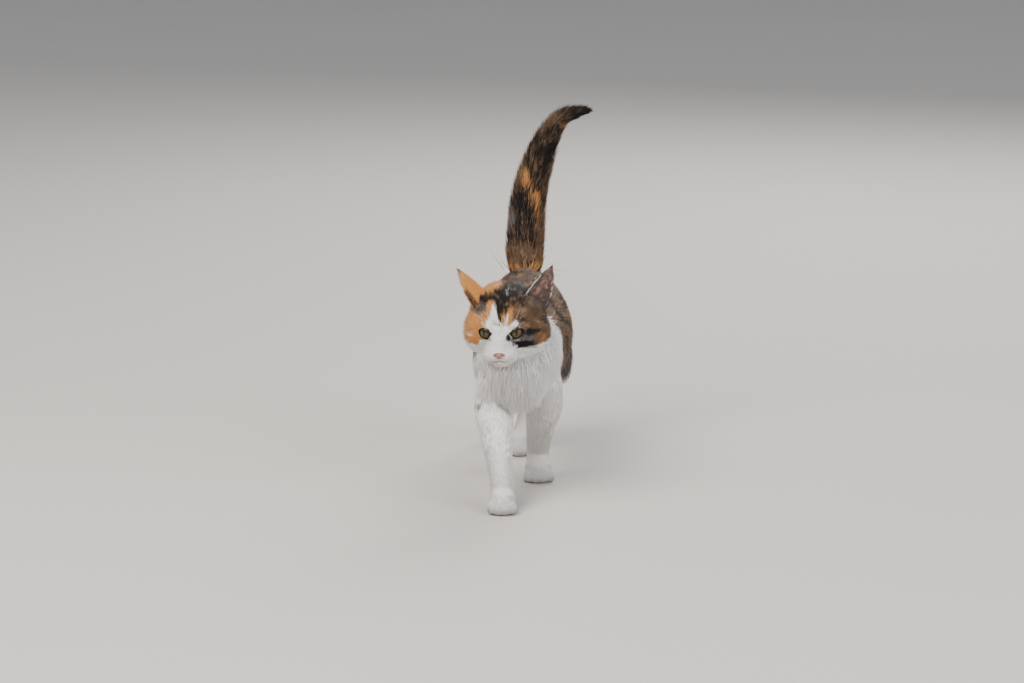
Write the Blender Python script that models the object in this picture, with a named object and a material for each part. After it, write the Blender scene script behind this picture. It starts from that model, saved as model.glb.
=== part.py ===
"""Calico cat, walking, as a still life-size model in named solids.

The cat faces -Y and stands on z = 0. Lengths in the tables are centimetres, turned to metres
by CM. The body is blended whole from tubes and ellipsoids, clad in locks of coat, and then
parted into its named pieces with thin cuts.
"""
import math
import random

import bmesh
import bpy
import numpy as np
from mathutils import Euler, Matrix, Vector
from mathutils.bvhtree import BVHTree

CM = 0.01
GAP = 0.0003

# The share of the coat's depth that the solid core fills under the locks, and where no locks grow
CORE_SHARE = 0.5
SHORT_SHARE = 0.9

# Coat depth from the skin to the tips, in centimetres
COAT_BODY = 1.25
COAT_NECK = 1.5
COAT_THIGH = 0.75
COAT_LEG = 0.3
COAT_HEAD = 0.4
COAT_MUZZLE = 0.08

# Blending: voxel sizes in metres, smoothing steps and the triangles left
BODY_VOXEL = 0.0026
HEAD_VOXEL = 0.0012
PAW_VOXEL = 0.0012
BODY_SMOOTH = 16
HEAD_SMOOTH = 14
PAW_SMOOTH = 5
BODY_TRIANGLES = 1500
HEAD_TRIANGLES = 1250
PAW_TRIANGLES = 250

# Trunk stations along the back: x, y, z of the centre, half width, half height
TRUNK = (
    (0.65, 6.6, 14.6, 1.9, 2.4),
    (0.70, 8.5, 14.5, 2.9, 3.6),
    (0.80, 12.0, 14.4, 3.4, 4.5),
    (1.00, 16.0, 14.2, 3.6, 4.7),
    (1.20, 20.0, 14.1, 4.05, 4.7),
    (1.45, 24.0, 14.4, 4.2, 4.7),
    (1.45, 28.0, 15.2, 3.7, 4.2),
    (1.45, 31.0, 16.2, 2.7, 3.3),
    (1.45, 32.6, 16.9, 1.5, 2.0),
)
NECK = (
    (0.70, 11.5, 15.8, 2.7, 2.9),
    (0.30, 8.5, 16.8, 2.6, 2.6),
    (-0.30, 6.0, 17.7, 2.2, 2.2),
    (-0.60, 4.3, 18.2, 1.3, 1.3),
    (-0.70, 3.4, 18.3, 0.3, 0.3),
)
# Masses at chest, shoulders and haunches: centre and half sizes
CHEST = ((0.6, 7.6, 13.6), (2.4, 1.9, 2.7))
SHOULDERS = (((3.05, 10.9, 14.4), (1.35, 2.7, 3.5)), ((-1.45, 10.4, 14.4), (1.35, 2.7, 3.5)))

# Leg stations from the body down to the foot: x, y, z, half width, half depth
FORELEG_RIGHT = (
    (-1.70, 10.0, 12.5, 1.60, 2.2),
    (-1.80, 9.2, 9.4, 1.55, 1.7),
    (-1.60, 6.6, 7.2, 1.35, 1.45),
    (-1.30, 4.4, 4.9, 1.12, 1.2),
    (-1.05, 3.0, 3.2, 0.98, 1.05),
    (-1.02, 2.4, 1.7, 1.00, 1.05),
)
FORELEG_LEFT = (
    (3.20, 10.9, 12.5, 1.60, 2.2),
    (3.30, 12.2, 9.3, 1.55, 1.7),
    (3.10, 13.6, 7.0, 1.35, 1.4),
    (2.85, 15.0, 4.9, 1.12, 1.2),
    (2.72, 15.9, 3.2, 1.00, 1.05),
    (2.75, 15.8, 1.7, 1.02, 1.05),
)
HINDLEG_RIGHT = (
    (0.10, 29.8, 15.5, 1.8, 2.7),
    (-1.30, 28.6, 12.4, 1.8, 2.7),
    (-1.80, 27.9, 9.7, 1.5, 1.9),
    (-1.70, 30.4, 8.2, 1.25, 1.45),
    (-1.50, 33.0, 6.8, 0.95, 1.1),
    (-1.40, 34.6, 5.8, 0.85, 1.0),
    (-1.35, 35.2, 3.7, 0.80, 0.85),
    (-1.30, 35.2, 1.7, 0.92, 0.95),
)
HINDLEG_LEFT = (
    (2.40, 29.5, 15.5, 1.8, 2.7),
    (3.60, 27.4, 12.6, 1.9, 2.8),
    (4.05, 25.7, 10.2, 1.5, 1.8),
    (3.50, 27.4, 8.4, 1.25, 1.5),
    (2.70, 29.4, 6.6, 0.95, 1.1),
    (2.20, 30.5, 5.4, 0.85, 1.0),
    (1.55, 29.7, 3.4, 0.80, 0.85),
    (1.05, 28.5, 1.6, 0.92, 0.95),
)
# Feet: x of the middle, y of the toes' front edge, toe turn in degrees, width
FEET = {
    "forepaw_right": (-1.05, 0.0, -3.0, 2.75),
    "forepaw_left": (2.90, 13.5, 4.0, 3.0),
    "hindpaw_right": (-1.30, 32.9, -4.0, 2.5),
    "hindpaw_left": (0.85, 25.8, 3.0, 2.5),
}
LEGS = {
    "forepaw_right": FORELEG_RIGHT,
    "forepaw_left": FORELEG_LEFT,
    "hindpaw_right": HINDLEG_RIGHT,
    "hindpaw_left": HINDLEG_LEFT,
}
ANKLE_HEIGHT = 2.6
PAW_LENGTH = 3.3
# Toes: place across as a share of the foot's width, distance back from its front edge, size
TOES = ((-0.37, 1.12, 0.92), (-0.13, 0.84, 1.0), (0.13, 0.84, 1.0), (0.37, 1.12, 0.92))

# Cuts that part the body: each a block between two rectangles (centre, axis, half side, half depth)
UP = (0.0, 0.0, 1.0)
LIMB_CUTS = {
    "foreleg_right": (((-2.0, 8.2, 9.2), (0.0, 0.25, 0.97), 2.4, 3.2), ((-1.0, 2.6, 2.0), UP, 2.4, 2.8)),
    "foreleg_left": (((3.5, 12.4, 9.0), (0.0, -0.05, 1.0), 2.5, 3.2), ((2.75, 15.9, 2.0), UP, 2.4, 2.8)),
    "shank_right": (((-1.7, 29.6, 8.7), (0.0, -0.8, 0.6), 2.4, 4.2), ((-1.35, 35.6, 2.0), UP, 2.4, 3.9)),
    "shank_left": (((3.6, 26.9, 8.9), (0.2, -0.45, 0.87), 2.6, 3.6), ((1.3, 29.4, 2.0), UP, 2.4, 3.2)),
    "thigh_right": (((-2.0, 29.0, 13.4), UP, 2.4, 4.2), ((-2.0, 28.4, 7.0), UP, 2.4, 4.2)),
    "thigh_left": (((4.4, 28.2, 13.6), UP, 2.4, 4.2), ((4.4, 26.6, 7.0), UP, 2.4, 4.2)),
}
# Cuts across the tail from the tip down to the rump: a point and the axis there
TAIL_CUTS = (
    ("tail_tip", (4.1, 33.75, 34.2), (0.47, -0.06, 0.88)),
    ("tail_upper", (2.25, 34.25, 28.8), (0.2, -0.05, 0.98)),
    ("tail_middle", (1.6, 34.3, 24.0), (0.06, 0.1, 0.99)),
    ("tail_base", (1.42, 33.1, 19.9), (0.0, 0.5, 0.87)),
)
HEAD_CUT = ((0.0, 7.0, 17.6), (-0.05, -0.86, 0.5))
NECK_CUT = ((0.4, 8.9, 16.6), (0.0, -0.66, 0.75))
WAIST_CUT = ((1.1, 18.8, 14.0), (0.0, -1.0, 0.0))
EAR_CUT_HEIGHT = 0.55
# Pieces without locks, the height above which locks grow, and the least cosine between their rings
SHORT_COATED = ("foreleg_right", "foreleg_left", "shank_right", "shank_left")
LOCKS_ABOVE = 7.0
LEAST_BEND = 0.55
# The pieces in the order in which the coat lies over them, each above the next
LIE_ORDER = ("neck", "torso_front", "foreleg_right", "foreleg_left", "torso_rear", "thigh_right",
             "thigh_left", "shank_right", "shank_left", "tail_base", "tail_middle", "tail_upper", "tail_tip")

# Tail stations from the rump to the tip: x, y, z, skin radius, outline radius
TAIL = (
    (1.42, 31.6, 17.6, 0.80, 2.1),
    (1.43, 33.2, 19.6, 0.72, 2.55),
    (1.50, 34.2, 22.6, 0.62, 2.5),
    (1.75, 34.4, 26.4, 0.56, 2.35),
    (2.35, 34.2, 29.4, 0.50, 2.15),
    (3.00, 34.0, 31.6, 0.45, 1.95),
    (3.65, 33.8, 33.3, 0.40, 1.65),
    (4.35, 33.7, 34.7, 0.36, 1.4),
    (5.25, 33.6, 35.8, 0.32, 1.15),
    (6.60, 33.5, 36.5, 0.27, 0.85),
    (7.60, 33.5, 36.75, 0.20, 0.55),
    (8.60, 33.5, 36.85, 0.08, 0.12),
)

# Head: the middle between the two eyeballs, and how the face is turned and bowed
HEAD_PLACE = (-1.0, 2.7, 18.3)
HEAD_YAW = -12.0
HEAD_BOW = 4.0
HEAD_TILT = -2.6
# Head masses in the head's own axes, x to the cat's left and y to the back: centre, half sizes
SKULL = (
    ((0.0, 3.1, 0.95), (3.2, 3.5, 2.75)),
    ((0.0, 1.55, 1.05), (2.5, 2.0, 1.75)),
    ((0.0, 1.8, -1.6), (2.6, 2.7, 1.5)),
    ((0.0, 0.75, -0.55), (2.6, 1.55, 1.6)),
    ((0.0, -0.45, -1.05), (1.05, 1.45, 1.15)),
    ((0.0, -1.5, -1.85), (0.62, 0.75, 0.55)),
    ((0.0, -0.75, -2.80), (0.90, 1.05, 0.52)),
)
SKULL_PAIRS = (
    ((1.85, 1.95, -0.7), (1.85, 2.4, 2.0)),
    ((0.62, -1.02, -2.12), (0.98, 1.05, 0.76)),
)
EYE_RADIUS = 0.86
EYE_SPACING = 1.42
EYE_TURN = 16.0
EYE_SEGMENTS = 16
LID_THICKNESS = 0.13
EYE_OPENING = (0.74, 0.47)
NOSE_TIP = (0.0, -2.2, -1.95)
MOUTH_HEIGHT = -2.56
MOUTH_FRONT = -1.75

# Ears: base point, tip point and the way the cup faces, in world directions, half width
EARS = {
    "ear_right": ((-2.45, 5.3, 20.6), (-5.35, 5.4, 24.05), (-0.90, 0.38, 0.1), 1.75),
    "ear_left": ((2.0, 5.3, 20.4), (4.0, 5.1, 24.4), (0.50, -0.86, 0.1), 1.95),
}
EAR_WALL = 0.15
EAR_DEPTH = 1.0
EAR_ROOT = 1.0

# Locks: for each ring from the root, its share of the length, of the width and of the thickness
LOCK_RINGS = ((0.0, 0.75, 0.9), (0.42, 1.0, 1.0), (0.76, 0.68, 0.6))
LOCK_THICKNESS = 0.30
LOCK_ROOT = 0.35
LOCK_SEED = 7
# Locks on the trunk: first and last y, rows, locks round a row, length, width and rise
TRUNK_LOCKS = (12.2, 29.6, 5, 7, 4.7, 3.0, 0.85)
# Locks on the tail: first and last share of its path, rows, length, width, the most in a row, and lift
TAIL_LOCKS = (0.04, 0.87, 8, 3.8, 2.2, 6, 1.3)
# Rows of the ruff and chest: y, z, angles from straight ahead in degrees, length and width
RUFF_ROWS = (
    (6.6, 17.4, (-140, -98, -58, -20, 18, 58, 98, 140), 2.5, 2.1),
    (7.2, 15.4, (-80, -40, -2, 38, 80), 2.9, 2.2),
    (7.8, 13.3, (-54, -16, 22, 60), 2.8, 2.2),
    (8.8, 11.5, (-30, 6, 42), 2.3, 2.0),
)
RUFF_RISE = 0.85
# Locks on the haunches: a middle inside each, and its side
HAUNCHES = (((3.4, 28.6, 13.2), 1.0), ((-0.9, 28.9, 13.2), -1.0))
HAUNCH_LOCK = (3.3, 2.5, 0.5)
# Locks on the nape that lie back over the shoulders: the points under them, length, width and rise
NAPE_ROOTS = ((-1.6, 8.6, 16.0), (0.4, 9.0, 16.5), (2.4, 8.6, 16.0))
NAPE_LOCK = (3.6, 2.6, 0.7)


def clear_scene():
    """Remove whatever the scene held before."""
    for thing in list(bpy.data.objects):
        bpy.data.objects.remove(thing)


def as_metres(point):
    """A point given in centimetres, as a vector in metres."""
    return Vector(point) * CM


def mesh_of(points, faces):
    """A mesh in triangles from points in metres and faces, with its faces turned outwards."""
    mesh = bpy.data.meshes.new("form")
    mesh.from_pydata([tuple(point) for point in points], [], faces)
    shape = bmesh.new()
    shape.from_mesh(mesh)
    bmesh.ops.recalc_face_normals(shape, faces=shape.faces)
    bmesh.ops.triangulate(shape, faces=shape.faces)
    shape.to_mesh(mesh)
    shape.free()
    return mesh


def smooth_stations(stations, steps):
    """Catmull-Rom points between the stations, so that few numbers give a smooth run."""
    table = np.array(stations, dtype=float)
    padded = np.vstack([2 * table[0] - table[1], table, 2 * table[-1] - table[-2]])
    rows = []
    for index in range(len(table) - 1):
        before, start, end, after = padded[index:index + 4]
        for step in range(steps):
            t = step / steps
            rows.append(0.5 * (2 * start + (end - before) * t
                               + (2 * before - 5 * start + 4 * end - after) * t * t
                               + (3 * start - before - 3 * end + after) * t * t * t))
    rows.append(table[-1])
    return np.array(rows)


def tube(stations, coat, sides=20, steps=4, side_axis=(1.0, 0.0, 0.0)):
    """A closed tube through the stations: an ellipse square to the path at each one.

    The coat is the depth added at the first and at the last station, even between them.
    """
    rows = smooth_stations(stations, steps)
    rows[:, 3:5] += np.linspace(*coat, len(rows))[:, None]
    centres = rows[:, :3]
    tangents = np.gradient(centres, axis=0)
    points = []
    for centre, tangent, row in zip(centres, tangents, rows):
        along = Vector(tangent).normalized()
        across = Vector(side_axis)
        across = (across - along * across.dot(along)).normalized()
        upward = along.cross(across)
        for side in range(sides):
            angle = 2 * math.pi * side / sides
            offset = across * math.cos(angle) * row[3] + upward * math.sin(angle) * row[4]
            points.append((Vector(centre) + offset) * CM)
    rings = len(rows)
    faces = []
    for ring in range(rings - 1):
        for side in range(sides):
            nearby = (side + 1) % sides
            faces.append((ring * sides + side, ring * sides + nearby,
                          (ring + 1) * sides + nearby, (ring + 1) * sides + side))
    faces.append(tuple(range(sides)))
    faces.append(tuple((rings - 1) * sides + side for side in range(sides)))
    return mesh_of(points, faces)


def ellipsoid(centre, sizes, coat=0.0, turn=None, segments=24):
    """A closed ellipsoid, its half sizes grown by the coat."""
    mesh = bpy.data.meshes.new("form")
    shape = bmesh.new()
    bmesh.ops.create_uvsphere(shape, u_segments=segments, v_segments=segments // 2, radius=1.0)
    stretch = Matrix.Diagonal([(size + coat) * CM for size in sizes] + [1.0])
    place = Matrix.Translation(as_metres(centre))
    if turn is not None:
        place = place @ turn
    bmesh.ops.transform(shape, matrix=place @ stretch, verts=shape.verts)
    shape.to_mesh(mesh)
    shape.free()
    return mesh


def quad(centre, axis, half_side, half_depth, grow):
    """Four corners in metres of a flat rectangle that is square to the axis."""
    axis = Vector(axis).normalized()
    side = Vector((1.0, 0.0, 0.0))
    side = (side - axis * side.dot(axis)).normalized()
    depth = axis.cross(side)
    middle = as_metres(centre) + axis * grow
    wide = half_side * CM + abs(grow)
    deep = half_depth * CM + abs(grow)
    return [middle - side * wide - depth * deep, middle + side * wide - depth * deep,
            middle + side * wide + depth * deep, middle - side * wide + depth * deep]


def region(first, second, grow=0.0):
    """A block between two rectangles, each given as centre, axis, half side and half depth."""
    points = quad(*first, grow) + quad(*second, -grow)
    faces = [(0, 1, 2, 3), (4, 5, 6, 7)]
    for corner in range(4):
        nearby = (corner + 1) % 4
        faces.append((corner, nearby, 4 + nearby, 4 + corner))
    return mesh_of(points, faces)


def beyond(centre, axis, half, length):
    """The two rectangles of a straight block that starts at the centre and runs against the axis."""
    far = Vector(centre) - Vector(axis).normalized() * length
    return (centre, axis, half, half), (tuple(far), axis, half, half)


def with_modifiers(mesh, settings):
    """The mesh after the modifiers, each given as a type and its settings."""
    holder = bpy.data.objects.new("holder", mesh)
    bpy.context.scene.collection.objects.link(holder)
    for kind, values in settings:
        modifier = holder.modifiers.new(kind.lower(), kind)
        for key, value in values.items():
            setattr(modifier, key, value)
    graph = bpy.context.evaluated_depsgraph_get()
    result = bpy.data.meshes.new_from_object(holder.evaluated_get(graph))
    bpy.data.objects.remove(holder)
    return result


def combine(mesh, others, operation):
    """One Boolean of the mesh with all the others, held in a collection."""
    if not others:
        return mesh
    group = bpy.data.collections.new("group")
    bpy.context.scene.collection.children.link(group)
    for other in others:
        group.objects.link(bpy.data.objects.new("other", other))
    settings = {"operation": operation, "operand_type": "COLLECTION", "collection": group,
                "solver": "MANIFOLD"}
    result = with_modifiers(mesh, [("BOOLEAN", settings)])
    for member in list(group.objects):
        bpy.data.objects.remove(member)
    bpy.data.collections.remove(group)
    return largest(result)


def largest(mesh):
    """Keep only the closed surface with the greatest size."""
    shape = bmesh.new()
    shape.from_mesh(mesh)
    bmesh.ops.triangulate(shape, faces=shape.faces)
    waiting = set(shape.verts)
    best = []
    best_size = -1.0
    while waiting:
        seed = waiting.pop()
        found = [seed]
        front = [seed]
        while front:
            for edge in front.pop().link_edges:
                for vertex in edge.verts:
                    if vertex in waiting:
                        waiting.discard(vertex)
                        found.append(vertex)
                        front.append(vertex)
        places = np.array([vertex.co for vertex in found])
        size = float(np.prod(places.max(axis=0) - places.min(axis=0)))
        if size > best_size:
            best = found
            best_size = size
    kept = set(best)
    bmesh.ops.delete(shape, geom=[vertex for vertex in shape.verts if vertex not in kept], context="VERTS")
    shape.to_mesh(mesh)
    shape.free()
    return mesh


def blended(forms, voxel, smoothing, triangles):
    """Fuse the forms in a voxel grid, smooth the joins and thin the faces."""
    shape = bmesh.new()
    for form in forms:
        shape.from_mesh(form)
    joined = bpy.data.meshes.new("joined")
    shape.to_mesh(joined)
    shape.free()
    fused = with_modifiers(joined, [
        ("REMESH", {"mode": "VOXEL", "voxel_size": voxel}),
        ("SMOOTH", {"factor": 0.5, "iterations": smoothing}),
    ])
    fused = largest(fused)
    ratio = triangles / len(fused.polygons)
    return largest(with_modifiers(fused, [("DECIMATE", {"ratio": ratio})]))


def part_off(whole, first, second):
    """Split the whole at a block, and give the piece inside it and the rest, a gap apart."""
    piece = combine(whole.copy(), [region(first, second)], "INTERSECT")
    rest = combine(whole, [region(first, second, GAP)], "DIFFERENCE")
    return piece, rest


def head_frame():
    """The matrix that takes the head's own axes, in metres, to the model's."""
    angles = (math.radians(HEAD_BOW), math.radians(HEAD_TILT), math.radians(HEAD_YAW))
    turn = Euler(angles, "XYZ").to_matrix().to_4x4()
    return Matrix.Translation(as_metres(HEAD_PLACE)) @ turn


def paw(name, share):
    """A foot with four toes on its flat sole, and a stub of leg above it."""
    x, front, turn, width = FEET[name]
    place = Matrix.Translation(as_metres((x, front, 0.0))) @ Matrix.Rotation(math.radians(turn), 4, "Z")
    forms = [
        ellipsoid((0.0, 0.54 * PAW_LENGTH, 0.80), (0.43 * width, 0.44 * PAW_LENGTH, 0.95)),
        ellipsoid((0.0, 0.66 * PAW_LENGTH, 1.30), (0.42 * width, 0.36 * PAW_LENGTH, 1.15)),
    ]
    for across, back, size in TOES:
        forms.append(ellipsoid((across * width, back, 0.55),
                               (0.155 * width * size, 0.85 * size, 0.68 * size)))
    for form in forms:
        form.transform(place)
    forms.append(tube(LEGS[name][-3:], (COAT_LEG * share, COAT_LEG * share), sides=16))
    return cut_flat(blended(forms, PAW_VOXEL, PAW_SMOOTH, PAW_TRIANGLES))


def cut_flat(mesh):
    """Trim the mesh at the floor, so that it rests on flats."""
    return combine(mesh, [region(*beyond((0.0, 18.0, 0.0), (0.0, 0.0, 1.0), 30.0, 10.0))], "DIFFERENCE")


def body(share):
    """Trunk, neck, legs and tail core as one blended surface."""
    thick = COAT_BODY * share
    forms = [
        tube(TRUNK, (thick, thick), sides=28),
        tube(NECK, (COAT_NECK * share, COAT_NECK * share), sides=24),
        ellipsoid(*CHEST, COAT_NECK * share),
        tube([(x, y, z, skin + (edge - skin) * share, skin + (edge - skin) * share)
              for x, y, z, skin, edge in TAIL], (0.0, 0.0), sides=18),
    ]
    for centre, sizes in SHOULDERS:
        forms.append(ellipsoid(centre, sizes, 0.7 * thick))
    for stations in LEGS.values():
        forms.append(tube(stations, (COAT_THIGH * share, COAT_LEG * SHORT_SHARE), sides=20))
    return blended(forms, BODY_VOXEL, BODY_SMOOTH, BODY_TRIANGLES)


def surface_of(mesh):
    """A search tree over the mesh, for finding places on it."""
    shape = bmesh.new()
    shape.from_mesh(mesh)
    tree = BVHTree.FromBMesh(shape)
    shape.free()
    return tree


def place_on(tree, inside, outward):
    """The place in metres where a ray from outside meets the surface, aimed at an inner point."""
    outward = Vector(outward).normalized()
    hit = tree.ray_cast(as_metres(inside) + outward * 0.2, -outward)
    return hit[0]


def lock(tree, root, lie, size, rng):
    """A flat, tapered lock that follows the surface from its root along its lie.

    It is kept as rings, each a centre, its side and normal, and its half width and thickness:
    sunk at the root, and standing higher towards the tip, where it ends in a point.
    """
    length, width, rise = size
    lie = Vector(lie).normalized()
    lie.rotate(Euler([rng.uniform(-0.16, 0.16) for _ in range(3)]))
    length *= rng.uniform(0.85, 1.15)
    width *= rng.uniform(0.85, 1.15)
    rise *= rng.uniform(0.75, 1.15)
    spot = Vector(root)
    rings = []
    passed = 0.0
    for share, wide, thick in LOCK_RINGS + ((1.0, 0.0, 0.0),):
        spot, normal, _, _ = tree.find_nearest(spot + lie * (share - passed) * length * CM)
        passed = share
        lie = (lie - normal * lie.dot(normal)).normalized()
        height = -LOCK_ROOT + (rise + LOCK_ROOT) * share ** 0.75
        rings.append((spot + normal * height * CM, lie.cross(normal), normal,
                      0.5 * width * wide * CM, 0.5 * LOCK_THICKNESS * thick * CM))
    return rings


def lock_mesh(rings, grow=0.0):
    """The lock as a closed mesh of low ridged rings that end in its tip, grown all round."""
    points = []
    back = (rings[0][0] - rings[1][0]).normalized() * 3.0 * grow
    for centre, side, normal, wide, thick in rings[:-1]:
        place = centre + back
        wide += 2.0 * grow
        high = normal * (thick + grow)
        points.extend([place - side * wide - high, place + high, place + side * wide - high])
        back = Vector()
    tip = rings[-1][0]
    points.append(tip + (tip - rings[-2][0]).normalized() * 3.0 * grow)
    count = len(rings) - 1
    faces = [(0, 1, 2)]
    for ring in range(count - 1):
        for corner in range(3):
            nearby = (corner + 1) % 3
            faces.append((3 * ring + corner, 3 * ring + nearby, 3 * ring + 3 + nearby, 3 * ring + 3 + corner))
    for corner in range(3):
        faces.append((3 * count - 3 + corner, 3 * count - 3 + (corner + 1) % 3, 3 * count))
    return mesh_of(points, faces)


def station_at(stations, axis, value):
    """The station, read between the given ones, whose coordinate on the axis is the value."""
    rows = smooth_stations(stations, 8)
    rows = rows[np.argsort(rows[:, axis])]
    return [float(np.interp(value, rows[:, axis], column)) for column in rows.T]


def trunk_locks(tree, rng):
    """Rows of locks round the trunk that lie back along it and hang a little."""
    first, last, rows, count, length, width, rise = TRUNK_LOCKS
    found = []
    for row in range(rows):
        y = first + (last - first) * row / (rows - 1)
        x, _, z, _, _ = station_at(TRUNK, 1, y)
        for step in range(count):
            angle = 2 * math.pi * (step + 0.5 * (row % 2)) / count + rng.uniform(-0.12, 0.12)
            outward = Vector((math.cos(angle), 0.0, math.sin(angle)))
            root = place_on(tree, (x, y + rng.uniform(-0.5, 0.5), z), outward)
            lie = (0.0, 1.0, -0.35 - 0.25 * max(0.0, -outward.z))
            found.append(lock(tree, root, lie, (length, width, rise), rng))
    return found


def tail_locks(tree, rng):
    """Rings of locks up the tail, each turned half a step from the last, lying towards its tip."""
    first, last, rows, length, width, most, lift = TAIL_LOCKS
    path = smooth_stations(TAIL, 8)
    steps = np.linalg.norm(np.diff(path[:, :3], axis=0), axis=1)
    shares = np.concatenate([[0.0], np.cumsum(steps)]) / steps.sum()
    found = []
    for row in range(rows):
        share = first + (last - first) * row / (rows - 1)
        here, ahead = [[float(np.interp(value, shares, path[:, column])) for column in range(5)]
                       for value in (share, share + 0.03)]
        along = (Vector(ahead[:3]) - Vector(here[:3])).normalized()
        across = along.cross(Vector((0.0, 1.0, 0.0))).normalized()
        other = along.cross(across)
        skin, edge = here[3:]
        size = 0.4 + 0.6 * edge / TAIL[1][4]
        count = max(3, round(most * size))
        for step in range(count):
            angle = 2 * math.pi * (step + 0.5 * (row % 2)) / count + rng.uniform(-0.15, 0.15)
            outward = across * math.cos(angle) + other * math.sin(angle)
            root = place_on(tree, here[:3], outward)
            rise = (edge - skin) * (1.0 - CORE_SHARE) * lift
            found.append(lock(tree, root, along, (length * size, width * size, rise), rng))
    return found


def ruff_locks(tree, rng):
    """Rows of locks on the neck and chest that hang down over the breast."""
    found = []
    for y, z, angles, length, width in RUFF_ROWS:
        for degrees in angles:
            angle = math.radians(degrees + rng.uniform(-6, 6))
            outward = Vector((math.sin(angle), -math.cos(angle), -0.25))
            root = place_on(tree, (0.4, y + 2.4, z), outward)
            lie = (0.2 * math.sin(angle), 0.35 * abs(math.sin(angle)) - 0.1, -1.0)
            found.append(lock(tree, root, lie, (length, width, RUFF_RISE), rng))
    return found


def haunch_locks(tree, rng):
    """Locks down the outside of the haunches and over the back of the thighs."""
    found = []
    for (x, y, z), side in HAUNCHES:
        for row in range(2):
            for column in range(3):
                angle = math.radians(-25.0 + 62.0 * column)
                outward = Vector((side * math.cos(angle), math.sin(angle), 0.0))
                inside = (x - 0.4 * side, y + 0.4 * row, z + 1.4 - 2.6 * row)
                root = place_on(tree, inside, outward)
                found.append(lock(tree, root, (0.0, 0.55, -0.85), HAUNCH_LOCK, rng))
    return found


def nape_locks(tree, rng):
    """Locks on the back of the neck that lie back over the shoulders."""
    found = []
    for inside in NAPE_ROOTS:
        root = place_on(tree, inside, (0.12 * inside[0], 0.0, 1.0))
        found.append(lock(tree, root, (0.0, 1.0, -0.3), NAPE_LOCK, rng))
    return found


def grown(mesh):
    """The mesh with its points moved out along their normals, a little more than the gap."""
    result = mesh.copy()
    shape = bmesh.new()
    shape.from_mesh(result)
    shape.normal_update()
    moves = [vertex.normal * 1.35 * GAP for vertex in shape.verts]
    for vertex, move in zip(shape.verts, moves):
        vertex.co += move
    shape.to_mesh(result)
    shape.free()
    return result


def clad(cores, locks, order, head_mesh):
    """Join each lock to the piece it is rooted in, and carve each piece clear of the earlier ones."""
    trees = {name: surface_of(cores[name]) for name in order}
    owned = {name: [] for name in order}
    for rings in locks:
        root = rings[0][0] + rings[0][2] * LOCK_ROOT * CM
        owner = min(order, key=lambda name: trees[name].find_nearest(root)[3])
        low = min(ring[0].z for ring in rings)
        bend = min(ring[2].dot(ahead[2]) for ring, ahead in zip(rings, rings[1:]))
        if owner not in SHORT_COATED and low > LOCKS_ABOVE * CM and bend > LEAST_BEND:
            owned[owner].append(rings)
    done = {}
    earlier = [(grown(head_mesh), box_of(head_mesh))]
    for name in order:
        mesh = combine(cores[name], [lock_mesh(rings) for rings in owned[name]], "UNION")
        nearby = [form for form, box in earlier if boxes_meet(box, box_of(mesh))]
        done[name] = combine(mesh, nearby, "DIFFERENCE")
        wide = [done[name], grown(cores[name])] + [lock_mesh(rings, 1.2 * GAP) for rings in owned[name]]
        earlier.extend((form, box_of(form)) for form in wide)
    return done


def box_of(mesh):
    """The lowest and highest corner of a mesh."""
    places = np.empty(3 * len(mesh.vertices))
    mesh.vertices.foreach_get("co", places)
    places = places.reshape(-1, 3)
    return places.min(axis=0), places.max(axis=0)


def boxes_meet(one, two):
    """Whether two boxes share any space."""
    return bool(np.all(one[0] <= two[1]) and np.all(two[0] <= one[1]))


def eye_place(side):
    """The matrix of one eyeball: y points back along its gaze, side is 1 for the cat's left."""
    turn = Matrix.Rotation(math.radians(EYE_TURN * side), 4, "Z")
    return head_frame() @ Matrix.Translation(as_metres((side * EYE_SPACING, 0.0, 0.0))) @ turn


def ball(radius, place):
    """A round ball on the eyeball's own axes."""
    form = ellipsoid((0.0, 0.0, 0.0), (radius, radius, radius), segments=EYE_SEGMENTS)
    form.transform(place)
    return form


def eye_window(side):
    """The almond between the lids, as a short bar with pointed ends along the gaze."""
    wide, high = EYE_OPENING
    outline = []
    count = 14
    for step in range(count):
        angle = 2 * math.pi * step / count
        rise = math.sin(angle)
        outline.append((wide * math.cos(angle), high * rise * abs(rise) ** 0.2
                        + 0.10 * side * math.cos(angle)))
    points = [Vector((x, -0.42, z)) * CM for x, z in outline] + [Vector((x, -2.0, z)) * CM for x, z in outline]
    faces = [tuple(range(count)), tuple(range(count, 2 * count))]
    for step in range(count):
        nearby = (step + 1) % count
        faces.append((step, nearby, count + nearby, count + step))
    form = mesh_of(points, faces)
    form.transform(eye_place(side))
    return form


def ear_axes(name):
    """The ear's base, length, and its unit directions along, across and facing."""
    base, tip, facing, half = EARS[name]
    along = Vector(tip) - Vector(base)
    length = along.length
    along.normalize()
    facing = Vector(facing)
    facing = (facing - along * facing.dot(along)).normalized()
    return Vector(base), length, half, along, along.cross(facing), facing


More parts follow.
